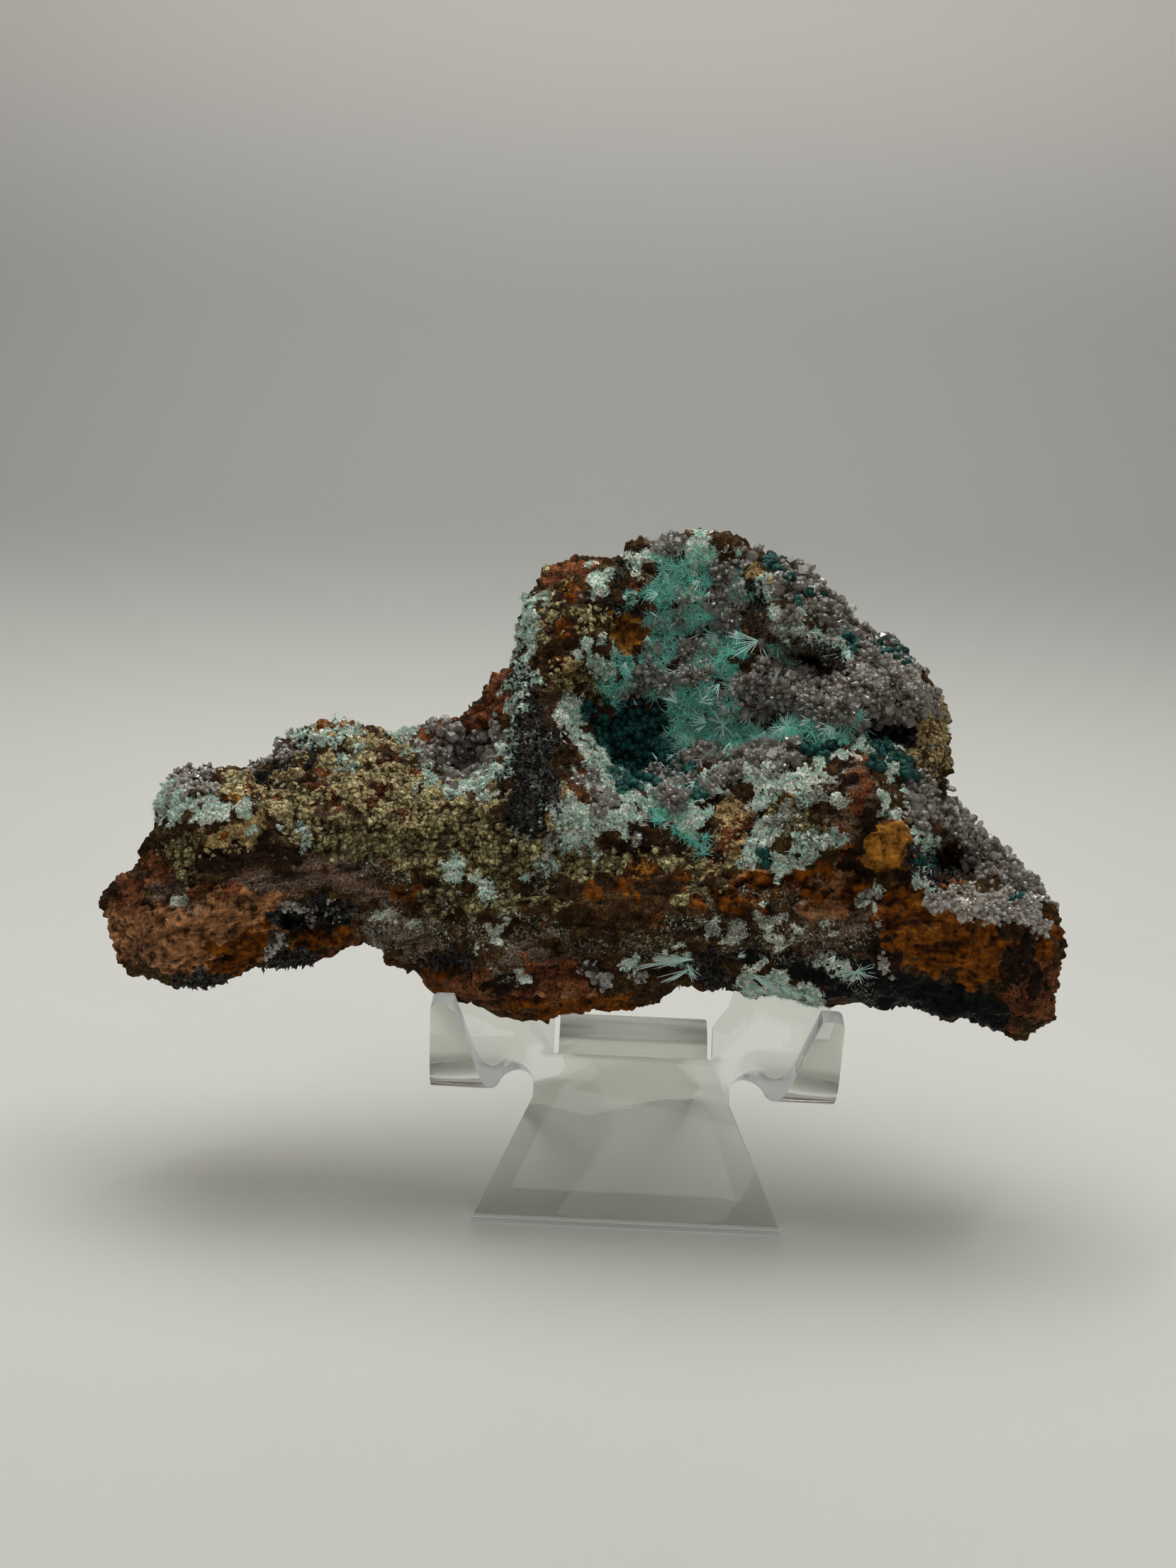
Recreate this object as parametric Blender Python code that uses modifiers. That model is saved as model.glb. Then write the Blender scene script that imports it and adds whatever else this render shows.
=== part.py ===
"""A craggy copper and zinc mineral specimen resting on a bent clear stand.

The specimen is one solid of grown-together minerals, leaning back on the stand.
The stand is one clear sheet: a flared front plate, two hooks folded forward,
two ears that stand up behind the specimen, and a tongue folded back as a leg.
Sizes below are millimetres, and the objects are made in metres, with +Z up.
"""

import math

import bmesh
import bpy
import numpy as np
from mathutils import Matrix, Vector, noise

MM = 0.001

# Driving dimensions of the stand
SHEET_THICKNESS = 3.0
STAND_HALF_WIDTH = 26.8
FOOT_HALF_WIDTH = 20.6
NECK_HALF_WIDTH = 13.3
NECK_HEIGHT = 16.2
NOTCH_CENTRE = (15.6, 18.0)
NOTCH_RADIUS = 2.3
HOOK_TIP_INNER = (23.9, 0.5)
TONGUE_HALF_WIDTH = 10.1
TONGUE_END_HALF_WIDTH = 8.5
SLIT_WIDTH = 0.7
EAR_TOP = 41.0
EAR_CORNER_RADIUS = 5.0
PLATE_LEAN_DEG = 25.0
FOOT_Y = -19.5
STAND_CENTRE_X = 6.2
FOOT_TRIM = 0.5
HOOK_BEND_START = 24.5
HOOK_BEND_RADIUS = 6.5
HOOK_BEND_DEG = 140.0
HOOK_BEND_STEPS = 20
TONGUE_BEND_START = 22.2
TONGUE_BEND_RADIUS = 5.0
TONGUE_BEND_DEG = 103.0
TONGUE_BEND_STEPS = 14
BLEND_COLUMNS = 5
CORNER_RADIUS = 1.0
EAR_INNER_SIDE = 13.9
EAR_INNER_FOOT = [(13.6, 32.0), (12.9, 29.8), (11.7, 28.3)]
SLIT_MOUTH = 27.0
TONGUE_STRAIGHT = 12.0
LONGEST_TONGUE = 120.0
FLOOR_BLOCK = 0.2

# Driving dimensions of the specimen, in a frame that faces its viewer:
# u to the right, w up, v away, with its origin near the middle of the base
FRAME_HEIGHT = 22.3
FRAME_SHIFT = (1.7, -0.2)
FRAME_PITCH_DEG = 10.0
FRAME_ROLL_DEG = 2.7
VIEW_DISTANCE = 300.0
VIEW_CENTRE_W = 33.4
RIM_RADIUS = 12.0
SHEET_VOXEL = 1.0
VOXEL = 1.1
SPECIMEN_TRIANGLES = 7000
CLEARANCE = 0.5
SMOOTHING = 0.5
SMOOTHING_PASSES = 2

# Depth of the specimen's middle surface at w = 0, and how fast it leans back
MIDDLE_DEPTH = -13.0
MIDDLE_LEAN = 0.30
FRONT_THICKNESS = 16.0
FRONT_THICKNESS_TOP = 11.5
BACK_THICKNESS_LOW = 3.0
BACK_THICKNESS = 12.5
LEAST_FRONT = -3.5
LEAST_BACK = 1.5

# Heights where those thicknesses begin to change, and over how much they do
FRONT_CHANGE = (28, 14)
BACK_CHANGE = (14, 12)

# The left end's top slopes away: how far, and where it begins in w and in u
LEFT_TOP_SLOPE = 4.0
LEFT_TOP_CHANGE_W = (26, 14)
LEFT_TOP_CHANGE_U = (-20, 6)

# How the relief fades: within this of the rim, and between these shares of its radius
RIM_FADE = 5.0
RELIEF_REACH = 1.25
RELIEF_SOFTNESS = 0.9

# Broken faces leave at least this share of the back
BREAK_SHARE = 0.75

# Crags over the whole surface: a mean swelling, then a height, a size and a seed each
CRAG_SWELL = 0.5
CRAGS = [(1.3, 9.0, 1), (0.9, 3.5, 2)]

OUTLINE = [
    (-68.3, 16), (-68, 17.8), (-63, 22), (-59.5, 32.8), (-55.2, 35), (-48.5, 34.3),
    (-47.8, 35.8), (-45.2, 36.2), (-41, 40.4), (-37, 42.1), (-34.4, 42.1), (-32, 40.5),
    (-27, 41.1), (-25.8, 40.2), (-23.2, 40.8), (-21.8, 40), (-20.8, 41.8), (-17.5, 42.2),
    (-14.8, 46.5), (-12.2, 48.5), (-10.5, 51.5), (-10.2, 54), (-8.8, 55.5), (-9, 57.2),
    (-7.8, 60.2), (-6.2, 61.2), (-5.5, 62.8), (-2.5, 64.4), (4.8, 64.3), (6.7, 65.4),
    (7, 67), (8, 67), (8.8, 66), (10.5, 67.4), (16, 68.7), (20.4, 67.9), (21.5, 66.8),
    (24, 66), (25.5, 66.4), (33.5, 58.8), (35.2, 58), (35.5, 56), (38.5, 53.6),
    (42.6, 52.1), (46.2, 49.3), (49.6, 43.9), (50, 38.8), (50.8, 37.3), (48.6, 32.4),
    (49.7, 30.6), (54.3, 27.8), (60.5, 19.9), (64.8, 16.6), (67.3, 11.8), (65.5, 1.6),
    (64.3, -0.7), (61.7, -2.1), (49.7, 0.8), (47.2, 2.3), (45.2, 2.3), (43.2, 1.2),
    (41.3, 2.3), (32, 2.5), (28, 4), (23, 4.3), (21, 6.5), (17, 4.2), (13, 5.8),
    (11.8, 5.5), (11.8, 4), (10.5, 2.8), (1.5, 0.9), (-3, 1.5), (-6, -0.1), (-19, 2.4),
    (-24, 6.5), (-23.8, 7.8), (-22.2, 9), (-27.2, 9), (-31.5, 11.8), (-33, 11.2),
    (-33.7, 10), (-37, 9.8), (-39, 8), (-41.5, 8), (-43.7, 6.9), (-45, 8.3), (-57.5, 5),
    (-65, 8), (-66.5, 9.5), (-66, 11.8), (-67.2, 13),
]

# Relief of the front: name, centre u, centre w, radii, turn in degrees, height
# towards the viewer. A negative height is a hollow.
FRONT_RELIEF = [
    ("left knob", -56.0, 29.5, 6.5, 6.0, 0, 2.5),
    ("left crust step", -40.0, 30.0, 15.0, 5.0, -8, 2.0),
    ("nose overhang", -44.0, 18.5, 14.0, 3.0, -4, 2.5),
    ("nose lower hollow", -38.0, 14.2, 6.0, 3.0, 5, -4.5),
    ("nose tip bulge", -58.0, 11.5, 8.0, 5.0, -10, 2.0),
    ("saddle hollow", -17.0, 38.5, 7.0, 6.0, 25, -9.0),
    ("column", -7.2, 39.0, 4.6, 13.0, 3, 6.0),
    ("column foot", -9.0, 26.0, 7.0, 6.0, 0, 2.5),
    ("brown shell", -3.0, 55.5, 7.0, 10.0, 5, 3.5),
    ("shell pocket", 5.2, 55.5, 3.6, 4.0, 0, -5.0),
    ("vug", 13.5, 44.0, 18.0, 14.0, -8, -12.0),
    ("vug throat", 6.0, 38.0, 6.0, 7.5, -20, -5.0),
    ("vug upper slope", 18.0, 59.0, 13.0, 8.0, 0, -6.0),
    ("vug inner mound", 20.0, 47.0, 7.0, 6.0, 20, 3.0),
    ("lower rim left", 1.5, 29.0, 7.0, 4.0, -35, 3.0),
    ("lower rim right", 23.0, 33.5, 8.0, 3.5, 25, 3.0),
    ("brown niche", 20.5, 28.0, 3.6, 3.8, 0, -2.5),
    ("ledge top", 26.5, 60.5, 3.0, 6.5, 25, 4.0),
    ("ledge end", 33.5, 53.5, 6.5, 2.6, -30, 4.5),
    ("ledge gap", 31.0, 49.5, 6.0, 2.2, -30, -3.5),
    ("right crystal mass", 41.5, 47.0, 8.5, 7.0, -20, 2.5),
    ("right dark gap", 41.0, 40.0, 7.0, 2.4, -12, -6.0),
    ("ridge", 33.5, 30.0, 10.0, 7.0, 40, 5.0),
    ("ridge crest", 36.5, 32.0, 3.5, 7.5, -15, 2.5),
    ("ochre face", 42.5, 24.0, 5.6, 4.8, 0, 4.0),
    ("recess beside ochre face", 50.5, 21.5, 5.0, 3.4, -25, -7.0),
    ("right slope", 56.0, 25.0, 10.0, 6.0, -38, -5.0),
    ("pale crystal band", 57.0, 15.5, 10.0, 3.0, -18, 2.0),
    ("rust block", 48.0, 12.5, 13.0, 6.5, -5, 3.0),
    ("centre band", 8.0, 15.5, 26.0, 5.0, -3, 2.5),
    ("black under-chamfer", 40.0, 4.5, 19.0, 3.6, -6, -4.0),
    ("shaggy notch", 17.5, 7.5, 4.5, 3.0, 0, -4.0),
    ("keel hollow", -19.0, 8.5, 5.0, 2.0, 0, -3.0),
    ("keel front", -6.0, 5.5, 12.0, 4.0, -5, 1.5),
    ("crust dimple", -30.0, 22.0, 8.0, 5.0, 0, -2.0),
]

# Relief of the back, in the same form: a positive height is away from the viewer
BACK_RELIEF = [
    ("back shoulder", -38.0, 26.0, 14.0, 9.0, 10, 3.0),
    ("back break", -12.0, 30.0, 10.0, 9.0, -20, -4.0),
    ("back dome", 18.0, 46.0, 17.0, 14.0, 0, 4.0),
    ("back pocket", 24.0, 30.0, 8.0, 6.0, 15, -4.5),
    ("back right lump", 52.0, 16.0, 9.0, 7.0, -20, 3.0),
    ("back scar", 38.0, 40.0, 6.0, 9.0, -30, -3.0),
]

# Broken faces of the back: centre u, centre w, depth there, slope along u and along w
BACK_BREAKS = [
    (-48.0, 22.0, 4.5, 0.20, 0.32),
    (-20.0, 30.0, 7.5, -0.16, 0.10),
    (0.0, 52.0, 15.5, 0.22, 0.10),
    (24.0, 50.0, 16.5, -0.12, 0.28),
    (44.0, 38.0, 9.0, -0.35, 0.15),
    (56.0, 12.0, 3.0, -0.10, 0.45),
]

# Hollows that run in under an edge: centre u, w, v, then three radii and a turn
UNDERCUTS = [
    (6.0, 38.0, -2.0, 5.5, 5.0, 6.5, 15),
    (32.0, 49.6, -3.5, 7.5, 6.0, 2.2, -28),
    (41.5, 39.8, -6.0, 6.5, 6.0, 2.2, -12),
    (51.0, 21.0, -12.0, 4.5, 5.0, 2.8, -25),
    (-38.0, 14.2, -19.0, 6.0, 5.0, 2.2, 5),
    (18.0, 4.6, -12.0, 3.4, 6.0, 2.2, 10),
    (-17.5, 36.5, -4.0, 5.0, 5.0, 3.5, 30),
]


def principled(name, colour, roughness, metallic=0.0, transmission=0.0):
    """Make a Principled material with one colour."""
    material = bpy.data.materials.new(name)
    material.use_nodes = True
    shader = material.node_tree.nodes["Principled BSDF"]
    shader.inputs["Base Color"].default_value = (*colour, 1.0)
    shader.inputs["Roughness"].default_value = roughness
    shader.inputs["Metallic"].default_value = metallic
    shader.inputs["Transmission Weight"].default_value = transmission
    material.diffuse_color = (*colour, 1.0)
    return material


def bake(obj):
    """Replace an object's mesh with what its modifiers make, and drop them."""
    depsgraph = bpy.context.evaluated_depsgraph_get()
    evaluated = obj.evaluated_get(depsgraph)
    mesh = bpy.data.meshes.new_from_object(evaluated)
    obj.modifiers.clear()
    obj.data = mesh
    return obj


def flat_outline(name, points, half_thickness, collection):
    """Fill a closed flat outline with a 2D curve and return it as a closed mesh."""
    curve = bpy.data.curves.new(name, "CURVE")
    curve.dimensions = "2D"
    curve.fill_mode = "BOTH"
    curve.extrude = half_thickness * MM
    spline = curve.splines.new("POLY")
    spline.points.add(len(points) - 1)
    for slot, (x, y) in zip(spline.points, points):
        slot.co = (x * MM, y * MM, 0.0, 1.0)
    spline.use_cyclic_u = True
    guide = bpy.data.objects.new(name + "_outline", curve)
    collection.objects.link(guide)
    depsgraph = bpy.context.evaluated_depsgraph_get()
    mesh = bpy.data.meshes.new_from_object(guide.evaluated_get(depsgraph))
    bpy.data.objects.remove(guide)
    obj = bpy.data.objects.new(name, mesh)
    collection.objects.link(obj)
    weld(obj)
    return obj


def weld(obj, distance=1e-6):
    """Merge an object's doubled vertices and face its sides outwards."""
    sheet = bmesh.new()
    sheet.from_mesh(obj.data)
    bmesh.ops.remove_doubles(sheet, verts=sheet.verts, dist=distance)
    bmesh.ops.recalc_face_normals(sheet, faces=sheet.faces)
    sheet.to_mesh(obj.data)
    sheet.free()


def cut(obj, cutter):
    """Take a cutter out of an object with an exact Boolean."""
    boolean = obj.modifiers.new("cut", "BOOLEAN")
    boolean.operation = "DIFFERENCE"
    boolean.solver = "EXACT"
    boolean.object = cutter
    bake(obj)


def arc(centre, radius, start_deg, end_deg, steps):
    """List points on an arc, both ends included."""
    angles = [math.radians(start_deg + (end_deg - start_deg) * i / steps) for i in range(steps + 1)]
    return [(centre[0] + radius * math.cos(a), centre[1] + radius * math.sin(a)) for a in angles]


def stand_half_outline(tongue_length):
    """List the right half of the unfolded sheet, from the foot up to the tongue's end."""
    ear_inner_top = (EAR_INNER_SIDE, EAR_TOP)
    slit_outer = TONGUE_HALF_WIDTH + SLIT_WIDTH
    points = [(FOOT_HALF_WIDTH, 0.0), (NECK_HALF_WIDTH, NECK_HEIGHT)]
    points += arc(NOTCH_CENTRE, NOTCH_RADIUS, 180, 0, 10)
    points += [HOOK_TIP_INNER]
    tip_corner = (STAND_HALF_WIDTH - CORNER_RADIUS, HOOK_TIP_INNER[1] + CORNER_RADIUS)
    points += arc(tip_corner, CORNER_RADIUS, -90, 0, 4)
    ear_corner = (STAND_HALF_WIDTH - EAR_CORNER_RADIUS, EAR_TOP - EAR_CORNER_RADIUS)
    points += arc(ear_corner, EAR_CORNER_RADIUS, 0, 90, 8)
    inner_corner = (ear_inner_top[0] + CORNER_RADIUS, ear_inner_top[1] - CORNER_RADIUS)
    points += arc(inner_corner, CORNER_RADIUS, 90, 180, 4)
    points += EAR_INNER_FOOT
    points += [(slit_outer, SLIT_MOUTH)]
    slit_middle = TONGUE_HALF_WIDTH + SLIT_WIDTH / 2
    slit_arc = arc((slit_middle, TONGUE_BEND_START + SLIT_WIDTH / 2), SLIT_WIDTH / 2, 0, -180, 4)
    points += slit_arc
    points += [(TONGUE_HALF_WIDTH, TONGUE_BEND_START + TONGUE_STRAIGHT)]
    points += [(TONGUE_END_HALF_WIDTH, tongue_length)]
    return points


def hook_side(along):
    """How far from the middle the hooks begin, at a height on the flat sheet."""
    foot_edge = FOOT_HALF_WIDTH - (FOOT_HALF_WIDTH - NECK_HALF_WIDTH) * along / NECK_HEIGHT
    notch_side = NOTCH_CENTRE[0] + NOTCH_RADIUS
    slope = (HOOK_TIP_INNER[0] - notch_side) / (NOTCH_CENTRE[1] - HOOK_TIP_INNER[1])
    hook_edge = notch_side + slope * (NOTCH_CENTRE[1] - along)
    if along < NOTCH_CENTRE[1]:
        return (foot_edge + hook_edge) / 2
    return NECK_HALF_WIDTH


def folded(across, along, offset):
    """Place a point of the flat sheet on the folded one, in millimetres.

    across and along lie in the sheet, and offset is the height over its middle.
    """
    lean = math.radians(PLATE_LEAN_DEG)
    up = Vector((0.0, math.sin(lean), math.cos(lean)))
    out = Vector((0.0, -math.cos(lean), math.sin(lean)))
    foot_mid_z = SHEET_THICKNESS / 2 * math.sin(lean) - FOOT_TRIM
    foot = Vector((0.0, FOOT_Y, foot_mid_z))
    flat = foot + up * along + out * offset
    point = flat
    if abs(across) <= TONGUE_HALF_WIDTH + 0.01 and along > TONGUE_BEND_START:
        run = along - TONGUE_BEND_START
        start = foot + up * TONGUE_BEND_START
        limit = math.radians(TONGUE_BEND_DEG)
        turn = min(run / TONGUE_BEND_RADIUS, limit)
        rest = run - turn * TONGUE_BEND_RADIUS
        inward = -out * math.cos(turn) - up * math.sin(turn)
        forward = up * math.cos(turn) - out * math.sin(turn)
        centre = start - out * TONGUE_BEND_RADIUS
        point = centre - inward * (TONGUE_BEND_RADIUS + offset) + forward * rest
    elif abs(across) > hook_side(along) and along < HOOK_BEND_START:
        run = HOOK_BEND_START - along
        start = foot + up * HOOK_BEND_START
        limit = math.radians(HOOK_BEND_DEG)
        turn = min(run / HOOK_BEND_RADIUS, limit)
        rest = run - turn * HOOK_BEND_RADIUS
        inward = out * math.cos(turn) + up * math.sin(turn)
        forward = out * math.sin(turn) - up * math.cos(turn)
        centre = start + out * HOOK_BEND_RADIUS
        bent = centre - inward * (HOOK_BEND_RADIUS - offset) + forward * rest
        hook_inner = NOTCH_CENTRE[0] + NOTCH_RADIUS
        share = (abs(across) - NECK_HALF_WIDTH) / (hook_inner - NECK_HALF_WIDTH)
        share = min(share, 1.0)
        share = share * share * (3 - 2 * share)
        point = flat.lerp(bent, share)
    return Vector((across + STAND_CENTRE_X, 0.0, 0.0)) + point


def tongue_length():
    """Find how long the sheet is from foot to tongue end, so the leg meets the floor."""
    low, high = TONGUE_BEND_START + TONGUE_STRAIGHT, LONGEST_TONGUE
    for _ in range(40):
        middle = (low + high) / 2
        lowest = min(folded(0.0, middle, side * SHEET_THICKNESS / 2).z for side in (-1, 1))
        if lowest > -FOOT_TRIM:
            low = middle
        else:
            high = middle
    return (low + high) / 2


def score(sheet, point, normal):
    """Cut edges through every face along a plane."""
    everything = sheet.verts[:] + sheet.edges[:] + sheet.faces[:]
    bmesh.ops.bisect_plane(sheet, geom=everything, plane_co=point, plane_no=normal, dist=1e-7)


def make_stand(collection, cutters):
    """Fold the clear stand out of one flat sheet."""
    half = stand_half_outline(tongue_length())
    outline = half + [(-x, y) for x, y in reversed(half)]
    obj = flat_outline("clear_stand", outline, SHEET_THICKNESS / 2, collection)
    sheet = bmesh.new()
    sheet.from_mesh(obj.data)
    bmesh.ops.dissolve_limit(sheet, angle_limit=0.001, verts=sheet.verts, edges=sheet.edges)
    hook_run = HOOK_BEND_RADIUS * math.radians(HOOK_BEND_DEG)
    tongue_run = TONGUE_BEND_RADIUS * math.radians(TONGUE_BEND_DEG)
    for i in range(HOOK_BEND_STEPS + 1):
        along = HOOK_BEND_START - hook_run * i / HOOK_BEND_STEPS
        score(sheet, (0, along * MM, 0), (0, 1, 0))
    for i in range(TONGUE_BEND_STEPS + 1):
        along = TONGUE_BEND_START + tongue_run * i / TONGUE_BEND_STEPS
        score(sheet, (0, along * MM, 0), (0, 1, 0))
    hook_inner = NOTCH_CENTRE[0] + NOTCH_RADIUS
    for side in (-1, 1):
        for i in range(BLEND_COLUMNS + 1):
            across = NECK_HALF_WIDTH + (hook_inner - NECK_HALF_WIDTH) * i / BLEND_COLUMNS
            score(sheet, (side * across * MM, 0, 0), (1, 0, 0))
    for vert in sheet.verts:
        vert.co = folded(*(value / MM for value in vert.co)) * MM
    bmesh.ops.triangulate(sheet, faces=sheet.faces)
    bmesh.ops.dissolve_limit(sheet, angle_limit=0.002, verts=sheet.verts, edges=sheet.edges)
    bmesh.ops.triangulate(sheet, faces=sheet.faces)
    bmesh.ops.recalc_face_normals(sheet, faces=sheet.faces)
    sheet.to_mesh(obj.data)
    sheet.free()
    bpy.ops.mesh.primitive_cube_add(size=FLOOR_BLOCK, location=(0, 0, -FLOOR_BLOCK / 2))
    floor_block = bpy.context.object
    floor_block.name = "floor_cutter"
    move_to(floor_block, cutters)
    cut(obj, floor_block)
    weld(obj)
    obj.location = (FRAME_SHIFT[0] * MM, FRAME_SHIFT[1] * MM, 0.0)
    obj.data.materials.append(principled("clear_acrylic", (0.93, 0.95, 0.95), 0.05, 0.0, 1.0))
    return obj


def move_to(obj, collection):
    """Put an object in one collection only."""
    for owner in obj.users_collection:
        owner.objects.unlink(obj)
    collection.objects.link(obj)


def smooth_step(value):
    """Ease a value from 0 to 1."""
    value = np.clip(value, 0.0, 1.0)
    return value * value * (3 - 2 * value)


def rim_distance(u, w):
    """Measure how far each point lies inside the specimen's outline."""
    best = np.full(u.shape, 1e9)
    for (u0, w0), (u1, w1) in zip(OUTLINE, OUTLINE[1:] + OUTLINE[:1]):
        du = u1 - u0
        dw = w1 - w0
        along = np.clip(((u - u0) * du + (w - w0) * dw) / (du * du + dw * dw), 0.0, 1.0)
        gap = np.hypot(u - u0 - along * du, w - w0 - along * dw)
        best = np.minimum(best, gap)
    return best


def relief(features, u, w):
    """Add up the bumps and hollows of one side at the given points."""
    height = np.zeros(u.shape)
    for _, centre_u, centre_w, radius_u, radius_w, turn_deg, peak in features:
        turn = math.radians(turn_deg)
        du = u - centre_u
        dw = w - centre_w
        across = (du * math.cos(turn) + dw * math.sin(turn)) / radius_u
        upward = (dw * math.cos(turn) - du * math.sin(turn)) / radius_w
        reach = np.hypot(across, upward)
        height += peak * smooth_step((RELIEF_REACH - reach) / RELIEF_SOFTNESS)
    return height


def swell(points, scale, seed):
    """Smooth fractal noise at each point, about -1 to 1."""
    offset = Vector((seed * 17.3, seed * 5.1, seed * 9.7))
    return np.array([noise.fractal(Vector(p) / scale + offset, 0.9, 2.0, 3) for p in points])


def change(value, start, length):
    """Ease from 0 to 1 over a length that begins at a start."""
    return smooth_step((value - start) / length)


def specimen_depths(u, w, side):
    """Depth of the front (side -1), rim (0) or back (side 1) surface, and between."""
    middle = MIDDLE_DEPTH + MIDDLE_LEAN * w
    rim = rim_distance(u, w)
    bulge = np.sqrt(1 - (1 - np.clip(rim / RIM_RADIUS, 0, 1)) ** 2)
    inside = smooth_step(rim / RIM_FADE)
    loss = FRONT_THICKNESS - FRONT_THICKNESS_TOP
    front = FRONT_THICKNESS - loss * change(w, *FRONT_CHANGE)
    leftward = smooth_step((LEFT_TOP_CHANGE_U[0] - u) / LEFT_TOP_CHANGE_U[1])
    left_top_slope = LEFT_TOP_SLOPE * change(w, *LEFT_TOP_CHANGE_W) * leftward
    front = (front - left_top_slope) * bulge + relief(FRONT_RELIEF, u, w) * inside
    gain = BACK_THICKNESS - BACK_THICKNESS_LOW
    back = (BACK_THICKNESS_LOW + gain * change(w, *BACK_CHANGE)) * bulge
    back = back + relief(BACK_RELIEF, u, w) * inside
    for centre_u, centre_w, depth, slope_u, slope_w in BACK_BREAKS:
        plane = depth + slope_u * (u - centre_u) + slope_w * (w - centre_w)
        back = np.minimum(back, np.maximum(plane - middle, BREAK_SHARE * back))
    front = np.maximum(front, LEAST_FRONT)
    back = np.maximum(back, LEAST_BACK * bulge)
    return middle + np.where(side < 0, side * front, side * back)


def to_view_ray(u, w, v):
    """Spread picture-plane points along their view rays, so the outline holds."""
    spread = (VIEW_DISTANCE + v) / VIEW_DISTANCE
    return u * spread, v, VIEW_CENTRE_W + (w - VIEW_CENTRE_W) * spread


def frame_matrix():
    """Matrix from the viewer-facing frame to the part's frame, in metres."""
    pitch = math.radians(FRAME_PITCH_DEG)
    roll = math.radians(FRAME_ROLL_DEG)
    right0 = Vector((1.0, 0.0, 0.0))
    up0 = Vector((0.0, math.sin(pitch), math.cos(pitch)))
    away = Vector((0.0, math.cos(pitch), -math.sin(pitch)))
    right = right0 * math.cos(roll) + up0 * math.sin(roll)
    up = up0 * math.cos(roll) - right0 * math.sin(roll)
    turn = Matrix((right, away, up)).transposed().to_4x4()
    origin = Vector((FRAME_SHIFT[0], FRAME_SHIFT[1], FRAME_HEIGHT)) * MM
    return Matrix.Translation(origin) @ turn


def remesh(obj, voxel):
    """Rebuild an object's surface with even faces."""
    modifier = obj.modifiers.new("even_faces", "REMESH")
    modifier.mode = "VOXEL"
    modifier.voxel_size = voxel * MM
    bake(obj)


def vertex_array(obj):
    """Read an object's vertices in millimetres."""
    co = np.empty(len(obj.data.vertices) * 3)
    obj.data.vertices.foreach_get("co", co)
    return co.reshape(-1, 3) / MM


def set_vertices(obj, co):
    """Write an object's vertices, given in millimetres."""
    obj.data.vertices.foreach_set("co", (co * MM).ravel())
    obj.data.update()


def make_undercuts(cutters):
    """Model the hollows that run in under an edge."""
    made = []
    for i, (u, w, v, radius_u, radius_v, radius_w, turn_deg) in enumerate(UNDERCUTS):
        bpy.ops.mesh.primitive_ico_sphere_add(subdivisions=3, radius=1.0)
        hollow = bpy.context.object
        hollow.name = f"undercut_{i}"
        place = Vector([float(value) for value in to_view_ray(u, w, v)]) * MM
        size = Matrix.Diagonal((radius_u * MM, radius_v * MM, radius_w * MM, 1.0))
        turn = Matrix.Rotation(math.radians(-turn_deg), 4, "Y")
        hollow.data.transform(Matrix.Translation(place) @ turn @ size)
        move_to(hollow, cutters)
        made.append(hollow)
    return made


def make_specimen(collection, cutters, stand):
    """Build the grown-together minerals as one solid."""
    obj = flat_outline("mineral_specimen", OUTLINE, 1.0, collection)
    obj.data.transform(Matrix.Rotation(math.radians(90), 4, "X"))
    remesh(obj, SHEET_VOXEL)
    co = vertex_array(obj)
    u, side, w = co[:, 0], np.clip(co[:, 1], -1.0, 1.0), co[:, 2]
    v = specimen_depths(u, w, side)
    set_vertices(obj, np.stack(to_view_ray(u, w, v), axis=1))
    remesh(obj, VOXEL)
    for hollow in make_undercuts(cutters):
        cut(obj, hollow)
    remesh(obj, VOXEL)
    smooth = obj.modifiers.new("smooth", "SMOOTH")
    smooth.factor = SMOOTHING
    smooth.iterations = SMOOTHING_PASSES
    bake(obj)
    co = vertex_array(obj)
    normals = np.array([vert.normal for vert in obj.data.vertices])
    crags = np.full(len(co), CRAG_SWELL)
    for height, size, seed in CRAGS:
        crags = crags + height * swell(co, size, seed)
    set_vertices(obj, co + normals * crags[:, None])
    remesh(obj, VOXEL)
    thin = obj.modifiers.new("thin", "DECIMATE")
    thin.ratio = SPECIMEN_TRIANGLES / (2 * len(obj.data.polygons))
    thin.use_collapse_triangulate = True
    bake(obj)
    obj.data.transform(frame_matrix())
    swollen = bpy.data.objects.new("stand_clearance", stand.data.copy())
    swollen.matrix_world = Matrix.Translation(stand.location)
    cutters.objects.link(swollen)
    swell_out = swollen.modifiers.new("swell", "DISPLACE")
    swell_out.strength = CLEARANCE * MM
    swell_out.mid_level = 0.0
    cut(obj, swollen)
    weld(obj)
    obj.data.materials.clear()
    obj.data.materials.append(principled("mineral_crust", (0.24, 0.20, 0.14), 0.85))
    return obj


def main():
    """Clear the scene and build the part."""
    for obj in list(bpy.data.objects):
        bpy.data.objects.remove(obj, do_unlink=True)
    part = bpy.data.collections.new("mineral_on_stand")
    cutters = bpy.data.collections.new("cutters")
    bpy.context.scene.collection.children.link(part)
    bpy.context.scene.collection.children.link(cutters)
    stand = make_stand(part, cutters)
    make_specimen(part, cutters, stand)
    for cutter in cutters.objects:
        cutter.hide_render = True
        cutter.display_type = "WIRE"


main()
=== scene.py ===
import math

import bmesh
import bpy
import numpy as np
from mathutils import Matrix, Vector, noise
from mathutils.bvhtree import BVHTree


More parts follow.
